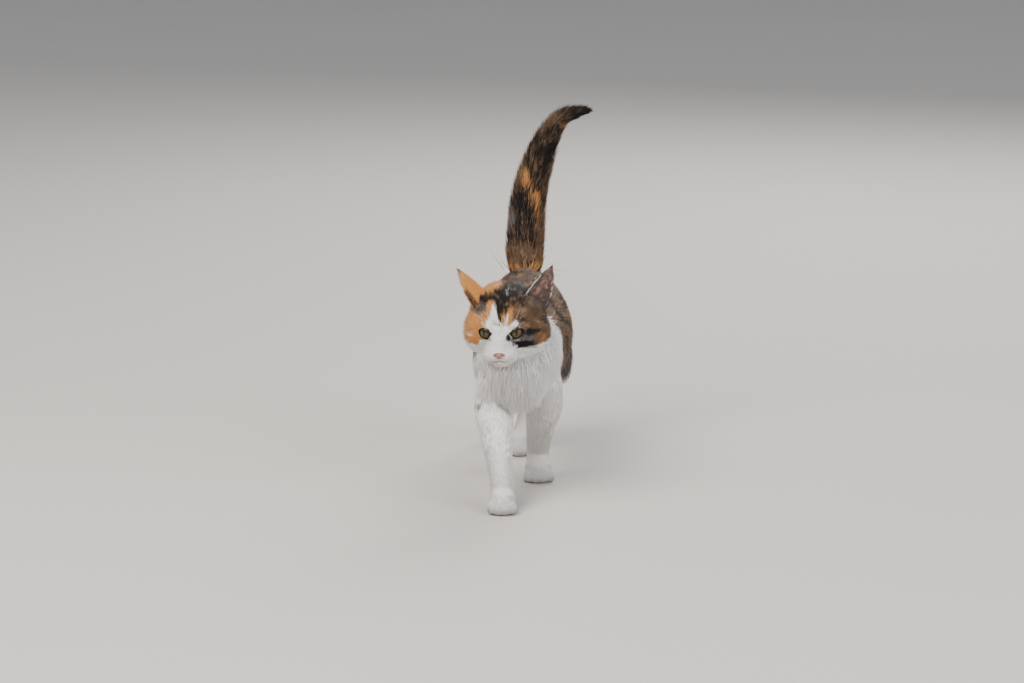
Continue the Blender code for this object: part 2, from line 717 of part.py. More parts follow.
def ear(name):
    """An ear as a pointed cup: a sheet bowed away from the side it faces, with an even wall."""
    base, length, half, along, across, facing = ear_axes(name)
    rings = 8
    spread = 9
    points = []
    for wall in (0.0, EAR_WALL):
        for ring in range(rings):
            t = ring / (rings - 1)
            half_here = (half - wall) * (1.0 - t ** 1.9) ** 0.85 * (1.0 - 0.45 * (1.0 - t) ** 5) + 0.05
            depth_here = (EAR_DEPTH - 0.5 * wall) * (1.0 - 0.9 * t ** 1.3)
            for step in range(spread):
                u = -1.0 + 2.0 * step / (spread - 1)
                bow = depth_here * (1.0 - u * u) - wall * (1.0 - 0.6 * abs(u))
                place = base + along * (length * t - EAR_ROOT * (1.0 - t))
                points.append((place + across * half_here * u + facing * (0.55 * depth_here - bow)) * CM)
    count = rings * spread
    faces = []
    for ring in range(rings - 1):
        for step in range(spread - 1):
            first = ring * spread + step
            faces.append((first, first + 1, first + spread + 1, first + spread))
            faces.append((count + first, count + first + spread, count + first + spread + 1,
                          count + first + 1))
    edge = ([ring * spread for ring in range(rings)]
            + [(rings - 1) * spread + step for step in range(1, spread)]
            + [ring * spread + spread - 1 for ring in range(rings - 2, -1, -1)]
            + [step for step in range(spread - 2, 0, -1)])
    for here, there in zip(edge, edge[1:] + edge[:1]):
        faces.append((here, there, count + there, count + here))
    return mesh_of(points, faces)


def ear_block(name, grow):
    """The block round an ear above its root, which parts it from the head."""
    base, length, half, along, across, facing = ear_axes(name)
    points = []
    for height in (EAR_CUT_HEIGHT - grow, length + 1.0):
        middle = base + along * height
        for wide, deep in ((-1, -1), (1, -1), (1, 1), (-1, 1)):
            points.append((middle + across * wide * (half + 0.5 + grow) + facing * deep * (1.2 + grow)) * CM)
    faces = [(0, 1, 2, 3), (4, 5, 6, 7)]
    for corner in range(4):
        nearby = (corner + 1) % 4
        faces.append((corner, nearby, 4 + nearby, 4 + corner))
    return mesh_of(points, faces)


def head(share):
    """The head with its lids, sockets, mouth line and nostrils, before it is parted."""
    frame = head_frame()
    coat = COAT_HEAD * SHORT_SHARE
    forms = []
    for centre, sizes in SKULL:
        forms.append(ellipsoid(centre, sizes, coat if centre[1] > 0.5 else COAT_MUZZLE))
    for centre, sizes in SKULL_PAIRS:
        for side in (-1.0, 1.0):
            forms.append(ellipsoid((side * centre[0], centre[1], centre[2]), sizes,
                                   coat if centre[1] > 0.5 else COAT_MUZZLE))
    for form in forms:
        form.transform(frame)
    forms.append(tube(NECK[1:], (COAT_NECK * share, COAT_HEAD), sides=24))
    mesh = blended(forms, HEAD_VOXEL, HEAD_SMOOTH, HEAD_TRIANGLES)
    lids = []
    sockets = []
    windows = []
    for side in (-1.0, 1.0):
        lids.append(ball(EYE_RADIUS + LID_THICKNESS + GAP / CM, eye_place(side)))
        sockets.append(ball(EYE_RADIUS + GAP / CM, eye_place(side)))
        windows.append(eye_window(side))
    mesh = combine(mesh, lids, "UNION")
    mesh = combine(mesh, windows, "DIFFERENCE")
    mesh = combine(mesh, sockets, "DIFFERENCE")
    return mesh


def finish(name, mesh, color, roughness):
    """Name the solid, give it its material and shade it smooth."""
    mesh.name = name
    mesh.materials.clear()
    material = bpy.data.materials.new(name + "_finish")
    material.use_nodes = True
    shader = material.node_tree.nodes["Principled BSDF"]
    shader.inputs["Base Color"].default_value = color
    shader.inputs["Roughness"].default_value = roughness
    mesh.materials.append(material)
    mesh.shade_smooth()
    mesh.set_sharp_from_angle(angle=math.radians(50.0))
    solid = bpy.data.objects.new(name, mesh)
    bpy.context.scene.collection.objects.link(solid)
    return solid


def prism(outline, near, far):
    """A bar in the head's own axes: the outline of x and z, run from near to far along y."""
    count = len(outline)
    points = [as_metres((x, near, z)) for x, z in outline] + [as_metres((x, far, z)) for x, z in outline]
    faces = [tuple(range(count)), tuple(range(count, 2 * count))]
    for step in range(count):
        nearby = (step + 1) % count
        faces.append((step, nearby, count + nearby, count + step))
    return mesh_of(points, faces)


def nose_bar(grow):
    """The bar that parts the bare nose from the muzzle, wide above and narrow below."""
    x, y, z = NOSE_TIP
    high, low = 0.36 + grow, 0.34 + grow
    outline = ((x - 0.36 - grow, z + high), (x + 0.36 + grow, z + high), (x + 0.54 + grow, z + 0.12),
               (x + 0.13 + grow, z - low), (x - 0.13 - grow, z - low), (x - 0.54 - grow, z + 0.12))
    form = prism(outline, y + 0.42 + grow, y - 1.5)
    form.transform(head_frame())
    return form


def face_cuts():
    """The nostrils and the line of the mouth, as thin forms to cut from the muzzle."""
    forms = []
    x, y, z = NOSE_TIP
    for side in (-1.0, 1.0):
        forms.append(ellipsoid((x + side * 0.24, y - 0.05, z - 0.02), (0.10, 0.28, 0.07), segments=10))
    steps = 12
    half = 1.25
    upper = []
    for step in range(steps + 1):
        across = -half + 2.0 * half * step / steps
        share = abs(across) / half
        dip = MOUTH_HEIGHT - 0.16 * math.sin(math.pi * min(1.0, share * 1.25)) + 0.16 * share ** 3
        upper.append((across, MOUTH_FRONT + 1.15 * share ** 2.2, dip))
    points = []
    for across, depth, height in upper:
        points.extend([(across, depth, height + 0.035), (across, depth, height - 0.035),
                       (across * 1.05, depth - 1.2, height - 0.05), (across * 1.05, depth - 1.2, height + 0.05)])
    faces = [(0, 1, 2, 3), tuple(4 * steps + corner for corner in (0, 1, 2, 3))]
    for step in range(steps):
        for corner in range(4):
            nearby = (corner + 1) % 4
            faces.append((4 * step + corner, 4 * step + nearby, 4 * step + 4 + nearby, 4 * step + 4 + corner))
    forms.append(mesh_of([as_metres(point) for point in points], faces))
    forms.append(prism(((-0.03, z - 0.2), (0.03, z - 0.2), (0.035, MOUTH_HEIGHT), (-0.035, MOUTH_HEIGHT)),
                       MOUTH_FRONT + 0.06, MOUTH_FRONT - 1.2))
    for form in forms:
        form.transform(head_frame())
    return forms


WHITE = (0.85, 0.83, 0.80, 1.0)
TORTIE = (0.13, 0.08, 0.05, 1.0)
ORANGE = (0.55, 0.25, 0.08, 1.0)
PINK = (0.55, 0.27, 0.24, 1.0)
AMBER = (0.30, 0.20, 0.05, 1.0)
FINISHES = {"nose": (PINK, 0.45), "eye": (AMBER, 0.1), "ear": (ORANGE, 0.8), "head": (ORANGE, 0.85),
            "torso": (TORTIE, 0.85), "tail": (TORTIE, 0.85), "thigh": (TORTIE, 0.85)}


def head_pieces():
    """The head, its ears, eyes and nose, parted from one form."""
    whole = combine(head(CORE_SHARE), [ear(name) for name in EARS], "UNION")
    whole = combine(whole, face_cuts(), "DIFFERENCE")
    pieces = {}
    for name in EARS:
        pieces[name] = combine(whole.copy(), [ear_block(name, 0.0)], "INTERSECT")
        whole = combine(whole, [ear_block(name, GAP / CM)], "DIFFERENCE")
    pieces["nose"] = combine(whole.copy(), [nose_bar(0.0)], "INTERSECT")
    whole = combine(whole, [nose_bar(GAP / CM)], "DIFFERENCE")
    pieces["eye_right"] = ball(EYE_RADIUS, eye_place(-1.0))
    pieces["eye_left"] = ball(EYE_RADIUS, eye_place(1.0))
    point, axis = HEAD_CUT
    pieces["head"] = combine(whole, [region(*beyond(point, axis, 9.0, 9.0))], "DIFFERENCE")
    return pieces


def body_pieces(head_mesh):
    """The feet, legs, tail, neck and trunk, parted from one form."""
    pieces = {}
    core = body(CORE_SHARE)
    whole = core.copy()
    for name in FEET:
        x, y, _ = LEGS[name][-2][:3]
        cut = beyond((x, y, ANKLE_HEIGHT), UP, 3.4, 6.0)
        pieces[name] = combine(paw(name, SHORT_SHARE), [region(*cut)], "INTERSECT")
        whole = combine(whole, [region(*cut, GAP)], "DIFFERENCE")
    for name, cut in LIMB_CUTS.items():
        pieces[name], whole = part_off(whole, *cut)
    for name, point, axis in TAIL_CUTS:
        pieces[name], whole = part_off(whole, *beyond(point, -Vector(axis), 5.0, 9.0))
    point, axis = HEAD_CUT
    whole = combine(whole, [region(*beyond(point, -Vector(axis), 9.0, 9.0), GAP)], "DIFFERENCE")
    point, axis = NECK_CUT
    pieces["neck"], whole = part_off(whole, *beyond(point, -Vector(axis), 9.0, 9.0))
    point, axis = WAIST_CUT
    pieces["torso_front"], pieces["torso_rear"] = part_off(whole, *beyond(point, -Vector(axis), 12.0, 18.0))
    tree = surface_of(core)
    rng = random.Random(LOCK_SEED)
    locks = []
    for rows in (trunk_locks, tail_locks, ruff_locks, haunch_locks, nape_locks):
        locks.extend(rows(tree, rng))
    pieces.update(clad(pieces, locks, LIE_ORDER, head_mesh))
    return pieces


def finish(name, mesh):
    """Name the solid, give it its material and shade it smooth."""
    color, roughness = FINISHES.get(name.split("_")[0], (WHITE, 0.85))
    mesh.name = name
    mesh.materials.clear()
    material = bpy.data.materials.new(name + "_finish")
    material.use_nodes = True
    shader = material.node_tree.nodes["Principled BSDF"]
    shader.inputs["Base Color"].default_value = color
    shader.inputs["Roughness"].default_value = roughness
    mesh.materials.append(material)
    mesh.shade_smooth()
    mesh.set_sharp_from_angle(angle=math.radians(50.0))
    bpy.context.scene.collection.objects.link(bpy.data.objects.new(name, mesh))


def settle(meshes):
    """Move all the meshes together, so that their box stands centred on the origin."""
    low = np.full(3, np.inf)
    high = np.full(3, -np.inf)
    for mesh in meshes:
        places = np.empty(3 * len(mesh.vertices))
        mesh.vertices.foreach_get("co", places)
        places = places.reshape(-1, 3)
        low = np.minimum(low, places.min(axis=0))
        high = np.maximum(high, places.max(axis=0))
    middle = 0.5 * (low + high)
    shift = Matrix.Translation((-middle[0], -middle[1], -low[2]))
    for mesh in meshes:
        mesh.transform(shift)


def main():
    """Model the cat, part it and set it at the origin."""
    clear_scene()
    pieces = head_pieces()
    pieces.update(body_pieces(pieces["head"]))
    settle(list(pieces.values()))
    for name, mesh in pieces.items():
        finish(name, mesh)


if __name__ == "__main__":
    main()
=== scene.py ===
"""A walking calico cat: one skin, its coat in tufts, eyes, nose, lids and whiskers.

Tables are in centimetres in the drawing's own place, where the cat faces -Y; SHIFT carries them
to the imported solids. Places on the face and the tail's front are named by pixels of the picture.
"""
import functools
import math

import bpy
import numpy as np
from mathutils import Euler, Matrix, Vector


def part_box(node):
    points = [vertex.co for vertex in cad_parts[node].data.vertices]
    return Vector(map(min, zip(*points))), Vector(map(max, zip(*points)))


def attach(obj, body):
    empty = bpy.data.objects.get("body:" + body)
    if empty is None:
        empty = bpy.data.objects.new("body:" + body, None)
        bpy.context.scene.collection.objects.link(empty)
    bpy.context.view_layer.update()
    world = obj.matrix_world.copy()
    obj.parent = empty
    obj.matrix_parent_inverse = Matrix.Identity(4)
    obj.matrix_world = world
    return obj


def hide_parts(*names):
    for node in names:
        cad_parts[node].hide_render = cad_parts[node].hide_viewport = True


bl_info = {
    "name": "Calico cat",
    "version": (1, 0, 0),
    "blender": (4, 5, 0),
    "location": "View3D > Sidebar > Cat",
    "description": "Dresses the solids of a walking calico cat with skin, coat and eyes",
    "category": "Object",
}

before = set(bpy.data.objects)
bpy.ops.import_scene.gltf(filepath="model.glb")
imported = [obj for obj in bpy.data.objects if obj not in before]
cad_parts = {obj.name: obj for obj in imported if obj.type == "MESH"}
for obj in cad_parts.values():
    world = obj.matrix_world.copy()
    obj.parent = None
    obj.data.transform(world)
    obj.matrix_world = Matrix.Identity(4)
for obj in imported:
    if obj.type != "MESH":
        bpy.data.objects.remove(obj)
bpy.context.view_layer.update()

CM = 0.01
SEED = 11

# Stations of the skin: x, y, z of the middle, half width, half depth
TRUNK = (
    (0.65, 6.6, 14.6, 1.9, 2.4), (0.70, 8.5, 14.5, 2.9, 3.6), (0.80, 12.0, 14.4, 3.4, 4.5),
    (1.00, 16.0, 14.2, 3.6, 4.7), (1.20, 20.0, 14.1, 4.05, 4.7), (1.45, 24.0, 14.4, 4.2, 4.7),
    (1.45, 28.0, 15.2, 3.7, 4.2), (1.45, 31.0, 16.2, 2.7, 3.3), (1.45, 32.6, 16.9, 1.5, 2.0),
)
NECK = (
    (0.70, 11.5, 15.8, 2.7, 2.9), (0.30, 8.5, 16.8, 2.6, 2.6), (-0.30, 6.0, 17.7, 2.2, 2.2),
    (-0.60, 4.3, 18.2, 1.3, 1.3), (-0.70, 3.4, 18.3, 0.3, 0.3),
)
LEGS = {
    "foreleg_right": ((-1.60, 10.6, 14.8, 1.10, 1.8), (-1.65, 10.0, 12.5, 1.50, 2.2),
                      (-1.80, 9.2, 9.4, 1.55, 1.7), (-1.60, 6.6, 7.2, 1.35, 1.45),
                      (-1.30, 4.4, 4.9, 1.12, 1.2), (-1.05, 3.0, 3.2, 0.98, 1.05),
                      (-1.02, 2.4, 1.7, 1.00, 1.05)),
    "foreleg_left": ((3.10, 11.0, 14.8, 1.10, 1.8), (3.15, 10.9, 12.5, 1.50, 2.2),
                     (3.30, 12.2, 9.3, 1.55, 1.7), (3.10, 13.6, 7.0, 1.35, 1.4),
                     (2.85, 15.0, 4.9, 1.12, 1.2), (2.72, 15.9, 3.2, 1.00, 1.05),
                     (2.75, 15.8, 1.7, 1.02, 1.05)),
    "hindleg_right": ((0.10, 29.8, 15.5, 1.8, 2.7), (-1.30, 28.6, 12.4, 1.8, 2.7),
                      (-1.80, 27.9, 9.7, 1.5, 1.9), (-1.70, 30.4, 8.2, 1.25, 1.45),
                      (-1.50, 33.0, 6.8, 0.95, 1.1), (-1.40, 34.6, 5.8, 0.85, 1.0),
                      (-1.35, 35.2, 3.7, 0.80, 0.85), (-1.30, 35.2, 1.7, 0.92, 0.95)),
    "hindleg_left": ((2.40, 29.5, 15.5, 1.8, 2.7), (3.60, 27.4, 12.6, 1.9, 2.8),
                     (4.05, 25.7, 10.2, 1.5, 1.8), (3.50, 27.4, 8.4, 1.25, 1.5),
                     (2.70, 29.4, 6.6, 0.95, 1.1), (2.20, 30.5, 5.4, 0.85, 1.0),
                     (1.55, 29.7, 3.4, 0.80, 0.85), (1.05, 28.5, 1.6, 0.92, 0.95)),
}
# The tail: x, y, z, skin radius, outline radius
TAIL = (
    (1.42, 31.6, 17.6, 0.80, 2.1), (1.43, 33.2, 19.6, 0.72, 2.55), (1.50, 34.2, 22.6, 0.62, 2.5),
    (1.75, 34.4, 26.4, 0.56, 2.35), (2.35, 34.2, 29.4, 0.50, 2.15), (3.00, 34.0, 31.6, 0.45, 1.95),
    (3.65, 33.8, 33.3, 0.40, 1.65), (4.35, 33.7, 34.7, 0.36, 1.4), (5.25, 33.6, 35.8, 0.32, 1.15),
    (6.60, 33.5, 36.5, 0.27, 0.85), (7.60, 33.5, 36.75, 0.20, 0.55), (8.60, 33.5, 36.85, 0.08, 0.12),
)
# Rounded masses under the skin: centre, half sizes
MASSES = (
    ((0.6, 7.6, 13.6), (2.4, 1.9, 2.7)), ((3.05, 10.9, 14.4), (1.35, 2.7, 3.5)),
    ((-1.45, 10.4, 14.4), (1.35, 2.7, 3.5)),
)
# Feet: x of the middle, y of the toes' front edge, turn in degrees, width
FEET = ((-1.05, -0.2, -3.0, 2.80), (2.90, 13.5, 4.0, 3.0),
        (-1.30, 32.9, -4.0, 2.5), (0.85, 25.8, 3.0, 2.5))
FOOT_LENGTH = 3.3
# Heel and instep: share of the length back, height, half sizes as shares of width and length,
# and half height
FOOT_MASSES = ((0.54, 0.80, 0.43, 0.44, 0.95), (0.66, 1.30, 0.42, 0.36, 1.15))
# Toes: place across as a share of the width, place back, and size; then the height of their
# middles, and their half width as a share of the foot's, half length and half height
TOES = ((-0.37, 1.12, 0.92), (-0.13, 0.84, 1.0), (0.13, 0.84, 1.0), (0.37, 1.12, 0.92))
TOE_HEIGHT = 0.62
TOE_SIZES = (0.150, 0.85, 0.56)
# What the short coat of feet and lower legs adds all round before its tufts, and up to what height
NAP = 0.14
NAP_BELOW = 9.8
# Grain and smoothing rounds of the skin, its least height, and how deep it lies in an open eye
SKIN_GRAIN = 0.17
SKIN_ROUNDS = 7
SKIN_LOW = 0.03
SOCKET = 0.80

# Parts of the body by number: trunk, neck, four legs, tail and head, and the ears for their coat
TRUNK_PARTS, FORELEGS, HINDLEGS = (0, 1), (2, 3), (4, 5)
TAIL_PART, HEAD_PART, EAR_PART = 6, 7, 8
# The plane before which the skin counts as head: a point and the way it faces
HEAD_PLANE = ((0.0, 7.0, 17.6), (-0.05, -0.865, 0.5))
SIDES = (-1.0, 1.0)

# The head: its place, its turn in degrees, and its rounded masses in its own axes: centre, half sizes
HEAD_PLACE = (-1.0, 2.7, 18.3)
HEAD_TURN = (4.0, -2.6, -12.0)
SKULL = (
    ((0.0, 3.1, 0.95), (3.2, 3.5, 2.75)), ((0.0, 1.55, 1.05), (2.5, 2.0, 1.75)),
    ((0.0, 1.8, -1.6), (2.6, 2.7, 1.5)), ((0.0, 0.75, -0.55), (2.6, 1.55, 1.6)),
    ((0.0, -0.45, -1.05), (1.05, 1.45, 1.15)), ((0.0, -1.5, -1.85), (0.62, 0.75, 0.55)),
    ((0.0, -0.75, -2.80), (0.90, 1.05, 0.52)),
    ((1.85, 1.95, -0.7), (1.85, 2.4, 2.0)), ((-1.85, 1.95, -0.7), (1.85, 2.4, 2.0)),
    ((0.62, -1.02, -2.12), (0.98, 1.05, 0.76)), ((-0.62, -1.02, -2.12), (0.98, 1.05, 0.76)),
)
# The eyeballs: radius, place to each side of the head's middle, and turn outwards in degrees
EYE_RADIUS = 0.86
EYE_SPACING = 1.42
EYE_TURN = 16.0
# The lids' opening: half width and half height, how far its outer corner is above its middle, how
# high its upper half is against the lower, how far it hangs, and its corners' sharpness
EYE_OPENING = (0.72, 0.46)
EYE_SLANT = 0.20
UPPER_LID = 0.82
EYE_DROP = 0.07
LID_POWER = 0.6
# How far the clear front of the eye and the skin over it stand out
EYE_BULGE = 0.035
LID_DOME = 0.07
NOSE_TIP = (0.0, -2.2, -1.95)
# The mouth: half width, and its height in the head's axes
MOUTH_HALF = 1.25
MOUTH_HEIGHT = -2.56
# Ears: base, tip, the way the cup faces, half width
EARS = {
    "right": ((-2.45, 5.3, 20.6), (-5.35, 5.4, 24.05), (-0.90, 0.38, 0.1), 1.75),
    "left": ((1.85, 5.3, 20.4), (3.95, 5.1, 24.4), (0.50, -0.86, 0.1), 1.75),
}
# Thickness of an ear, depth of its cup, and how far its root lies under the skin
EAR_WALL = 0.12
EAR_DEPTH = 1.0
EAR_ROOT = 1.0

# The camera: place, pitch in degrees, lens and sensor width in millimetres, and the picture
CAMERA_PLACE = (0.0, -291.2, 74.4)
CAMERA_PITCH = 79.0
CAMERA_LENS = 105.5
CAMERA_SENSOR = 36.0
PICTURE = (1024, 683)

HEAD_AXES = np.array(Euler([math.radians(angle) for angle in HEAD_TURN], "XYZ").to_matrix())
HEAD_AT = np.array(HEAD_PLACE)


def from_head(points):
    """Places in the head's own axes carried to the drawing's place."""
    return np.asarray(points, float) @ HEAD_AXES.T + HEAD_AT


def to_head(points):
    """Places in the drawing carried to the head's own axes."""
    return (np.asarray(points, float) - HEAD_AT) @ HEAD_AXES


def middle_of(node):
    """The middle of a solid's box, in centimetres."""
    low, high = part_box(node)
    return np.array((low + high) * 0.5) / CM


SHIFT = middle_of("eye_left") - from_head((EYE_SPACING, 0.0, 0.0))


class CoatColors(bpy.types.PropertyGroup):
    """Colours and fineness of the coat."""
    white: bpy.props.FloatVectorProperty(name="White", description="Chest, legs, muzzle and belly",
                                         subtype="COLOR", size=3, default=(0.86, 0.84, 0.82))
    orange: bpy.props.FloatVectorProperty(name="Orange", description="Orange patches and streaks",
                                          subtype="COLOR", size=3, default=(0.52, 0.215, 0.055))
    gold: bpy.props.FloatVectorProperty(name="Gold", description="Paler hairs within the orange",
                                        subtype="COLOR", size=3, default=(0.50, 0.255, 0.090))
    brown: bpy.props.FloatVectorProperty(name="Brown", description="Ticked brown of back and cheeks",
                                         subtype="COLOR", size=3, default=(0.115, 0.068, 0.040))
    black: bpy.props.FloatVectorProperty(name="Black", description="Black patches and stripes",
                                         subtype="COLOR", size=3, default=(0.012, 0.010, 0.009))
    pink: bpy.props.FloatVectorProperty(name="Pink", description="Bare skin in the ears and at the lids",
                                        subtype="COLOR", size=3, default=(0.50, 0.26, 0.21))
    fullness: bpy.props.FloatProperty(name="Fullness", description="Share of the tufts that are made",
                                      subtype="FACTOR", min=0.05, max=1.0, default=1.0)


class EyeColors(bpy.types.PropertyGroup):
    """Colours and sizes of the eyes."""
    iris: bpy.props.FloatVectorProperty(name="Iris", description="Amber-olive of the iris",
                                        subtype="COLOR", size=3, default=(0.085, 0.060, 0.023))
    rim: bpy.props.FloatVectorProperty(name="Rim", description="Dark skin at the edge of the lids",
                                       subtype="COLOR", size=3, default=(0.012, 0.008, 0.006))
    iris_radius: bpy.props.FloatProperty(
        name="Iris radius", description="Radius of the iris across the gaze",
        subtype="DISTANCE", unit="LENGTH", default=0.0057)
    pupil_width: bpy.props.FloatProperty(
        name="Pupil width", description="Half width of the upright pupil",
        subtype="DISTANCE", unit="LENGTH", default=0.0010)


class Studio(bpy.types.PropertyGroup):
    """Floor and light."""
    floor: bpy.props.FloatVectorProperty(name="Floor", description="Pale floor and backdrop",
                                         subtype="COLOR", size=3, default=(0.56, 0.52, 0.48))
    strength: bpy.props.FloatProperty(name="Light", description="Power of the main light in watts",
                                      min=0.0, default=62.0)


# ---- surfaces worked out as whole arrays

def grid_faces(rows, columns, around):
    """Triangles over a grid of rows by columns, closed round the columns where asked."""
    last = columns if around else columns - 1
    row, column = np.meshgrid(np.arange(rows - 1), np.arange(last), indexing="ij")
    nearby = (column + 1) % columns
    a, b = row * columns + column, row * columns + nearby
    c, d = (row + 1) * columns + nearby, (row + 1) * columns + column
    return np.concatenate([np.stack(corners, -1).reshape(-1, 3) for corners in ((a, b, c), (a, c, d))])


def closed_faces(rows, around, inward=False):
    """Triangles over rings and to a pole before the first and after the last, both stored last."""
    side = np.arange(around)
    nearby = (side + 1) % around
    pole, end = rows * around, (rows - 1) * around
    grid = grid_faces(rows, around, True)
    low = np.stack([np.full(around, pole), nearby, side], -1)
    high = np.stack([np.full(around, pole + 1), end + side, end + nearby], -1)
    if inward:
        grid, low, high = grid[:, ::-1], low[:, [0, 2, 1]], high[:, [0, 2, 1]]
    return np.concatenate([grid, low, high])


def smooth_rows(stations, steps):
    """Catmull-Rom rows: each span is a cubic through its ends with its neighbours' slopes."""
    table = np.array(stations, float)
    padded = np.vstack([2 * table[0] - table[1], table, 2 * table[-1] - table[-2]])
    t = (np.arange(steps) / steps)[None, :, None]
    before, start, end, after = (padded[k:k + len(table) - 1][:, None, :] for k in range(4))
    rows = 0.5 * (2 * start + (end - before) * t + (2 * before - 5 * start + 4 * end - after) * t ** 2
                  + (3 * start - before - 3 * end + after) * t ** 3)
    return np.vstack([rows.reshape(-1, table.shape[1]), table[-1:]])


def unit(vectors):
    """The vectors scaled to length one."""
    return vectors / np.maximum(np.linalg.norm(vectors, axis=-1, keepdims=True), 1e-9)


def tube(stations, sides=32, steps=8, side_axis=(1.0, 0.0, 0.0)):
    """Ellipses square to a smooth path, closed at poles.

    Each ring is centre + across * width * cos + up * depth * sin.
    """
    rows = smooth_rows(stations, steps)
    along = unit(np.gradient(rows[:, :3], axis=0))
    across = np.array(side_axis) - along * (along @ np.array(side_axis))[:, None]
    across = unit(across)
    upward = np.cross(along, across)
    angle = 2 * np.pi * np.arange(sides) / sides
    ring = (across[:, None] * np.cos(angle)[None, :, None] * rows[:, None, 3:4]
            + upward[:, None] * np.sin(angle)[None, :, None] * rows[:, None, 4:5])
    points = (rows[:, None, :3] + ring).reshape(-1, 3)
    return np.vstack([points, rows[0, :3], rows[-1, :3]]), closed_faces(len(rows), sides)


def ellipsoid(centre, sizes, around=32, rows=16):
    """A stretched ball: centre + sizes * (sin v cos u, sin v sin u, cos v), closed at poles."""
    v = np.pi * np.arange(1, rows) / rows
    u = 2 * np.pi * np.arange(around) / around
    ball = np.stack([np.sin(v)[:, None] * np.cos(u), np.sin(v)[:, None] * np.sin(u),
                     np.cos(v)[:, None] * np.ones(around)], -1).reshape(-1, 3)
    ball = np.vstack([ball, (0.0, 0.0, 1.0), (0.0, 0.0, -1.0)])
    return np.array(centre) + ball * np.array(sizes), closed_faces(rows - 1, around, inward=True)


def turned(surface, degrees, place):
    """A surface turned about the upright and moved to a place."""
    points, faces = surface
    c, s = math.cos(math.radians(degrees)), math.sin(math.radians(degrees))
    return points @ np.array([(c, s, 0.0), (-s, c, 0.0), (0.0, 0.0, 1.0)]) + np.array(place), faces


def joined(surfaces):
    """Several surfaces as one set of points and faces."""
    start = np.cumsum([0] + [len(points) for points, _ in surfaces])
    return (np.vstack([points for points, _ in surfaces]),
            np.concatenate([faces + first for (_, faces), first in zip(surfaces, start)]))


def mesh_from(name, points, faces, smooth=True):
    """A mesh from whole arrays: points in centimetres of the drawing, faces as triangles."""
    mesh = bpy.data.meshes.new(name)
    mesh.vertices.add(len(points))
    mesh.vertices.foreach_set("co", ((points + SHIFT) * CM).astype(np.float32).ravel())
    mesh.loops.add(faces.size)
    mesh.loops.foreach_set("vertex_index", faces.astype(np.int32).ravel())
    mesh.polygons.add(len(faces))
    mesh.polygons.foreach_set("loop_start", np.arange(0, faces.size, 3, dtype=np.int32))
    mesh.update(calc_edges=True)
    mesh.polygons.foreach_set("use_smooth", np.full(len(faces), smooth))
    return mesh


def piece_from(name, mesh, slot, *nodes):
    """An object for the mesh that rides on the cat and stands for the named solids."""
    piece = bpy.data.objects.new(name, mesh)
    bpy.context.scene.collection.objects.link(piece)
    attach(piece, "root")
    if nodes:
        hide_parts(*nodes)
    return piece


def crossed(points, faces):
    """For each face the cross product of two of its sides, as long as twice its area."""
    a, b, c = points[faces[:, 0]], points[faces[:, 1]], points[faces[:, 2]]
    return np.cross(b - a, c - a)


def normals_of(points, faces):
    """Unit normals at the points, summed from the faces around each."""
    flat = crossed(points, faces)
    total = np.stack([sum(np.bincount(faces[:, k], flat[:, axis], len(points)) for k in range(3))
                      for axis in range(3)], -1)
    return unit(total)


def outward(points, faces, centre):
    """The faces, all turned round together where most of them point to the centre."""
    away = (crossed(points, faces) * (points[faces].mean(axis=1) - centre)).sum()
    return faces if away > 0 else faces[:, ::-1]


def spread_evenly(values, faces, rounds):
    """Values at the points, each moved towards the mean of its neighbours, round by round."""
    pairs = np.concatenate([faces[:, [0, 1]], faces[:, [1, 2]], faces[:, [2, 0]]])
    one, other = np.unique(np.sort(pairs, axis=1), axis=0).T
    count = len(values)
    degree = np.bincount(one, minlength=count) + np.bincount(other, minlength=count)
    for _ in range(rounds):
        mean = np.stack([np.bincount(one, values[other, k], count)
                         + np.bincount(other, values[one, k], count)
                         for k in range(values.shape[1])], -1) / degree[:, None]
        values = 0.45 * values + 0.55 * mean
    return values


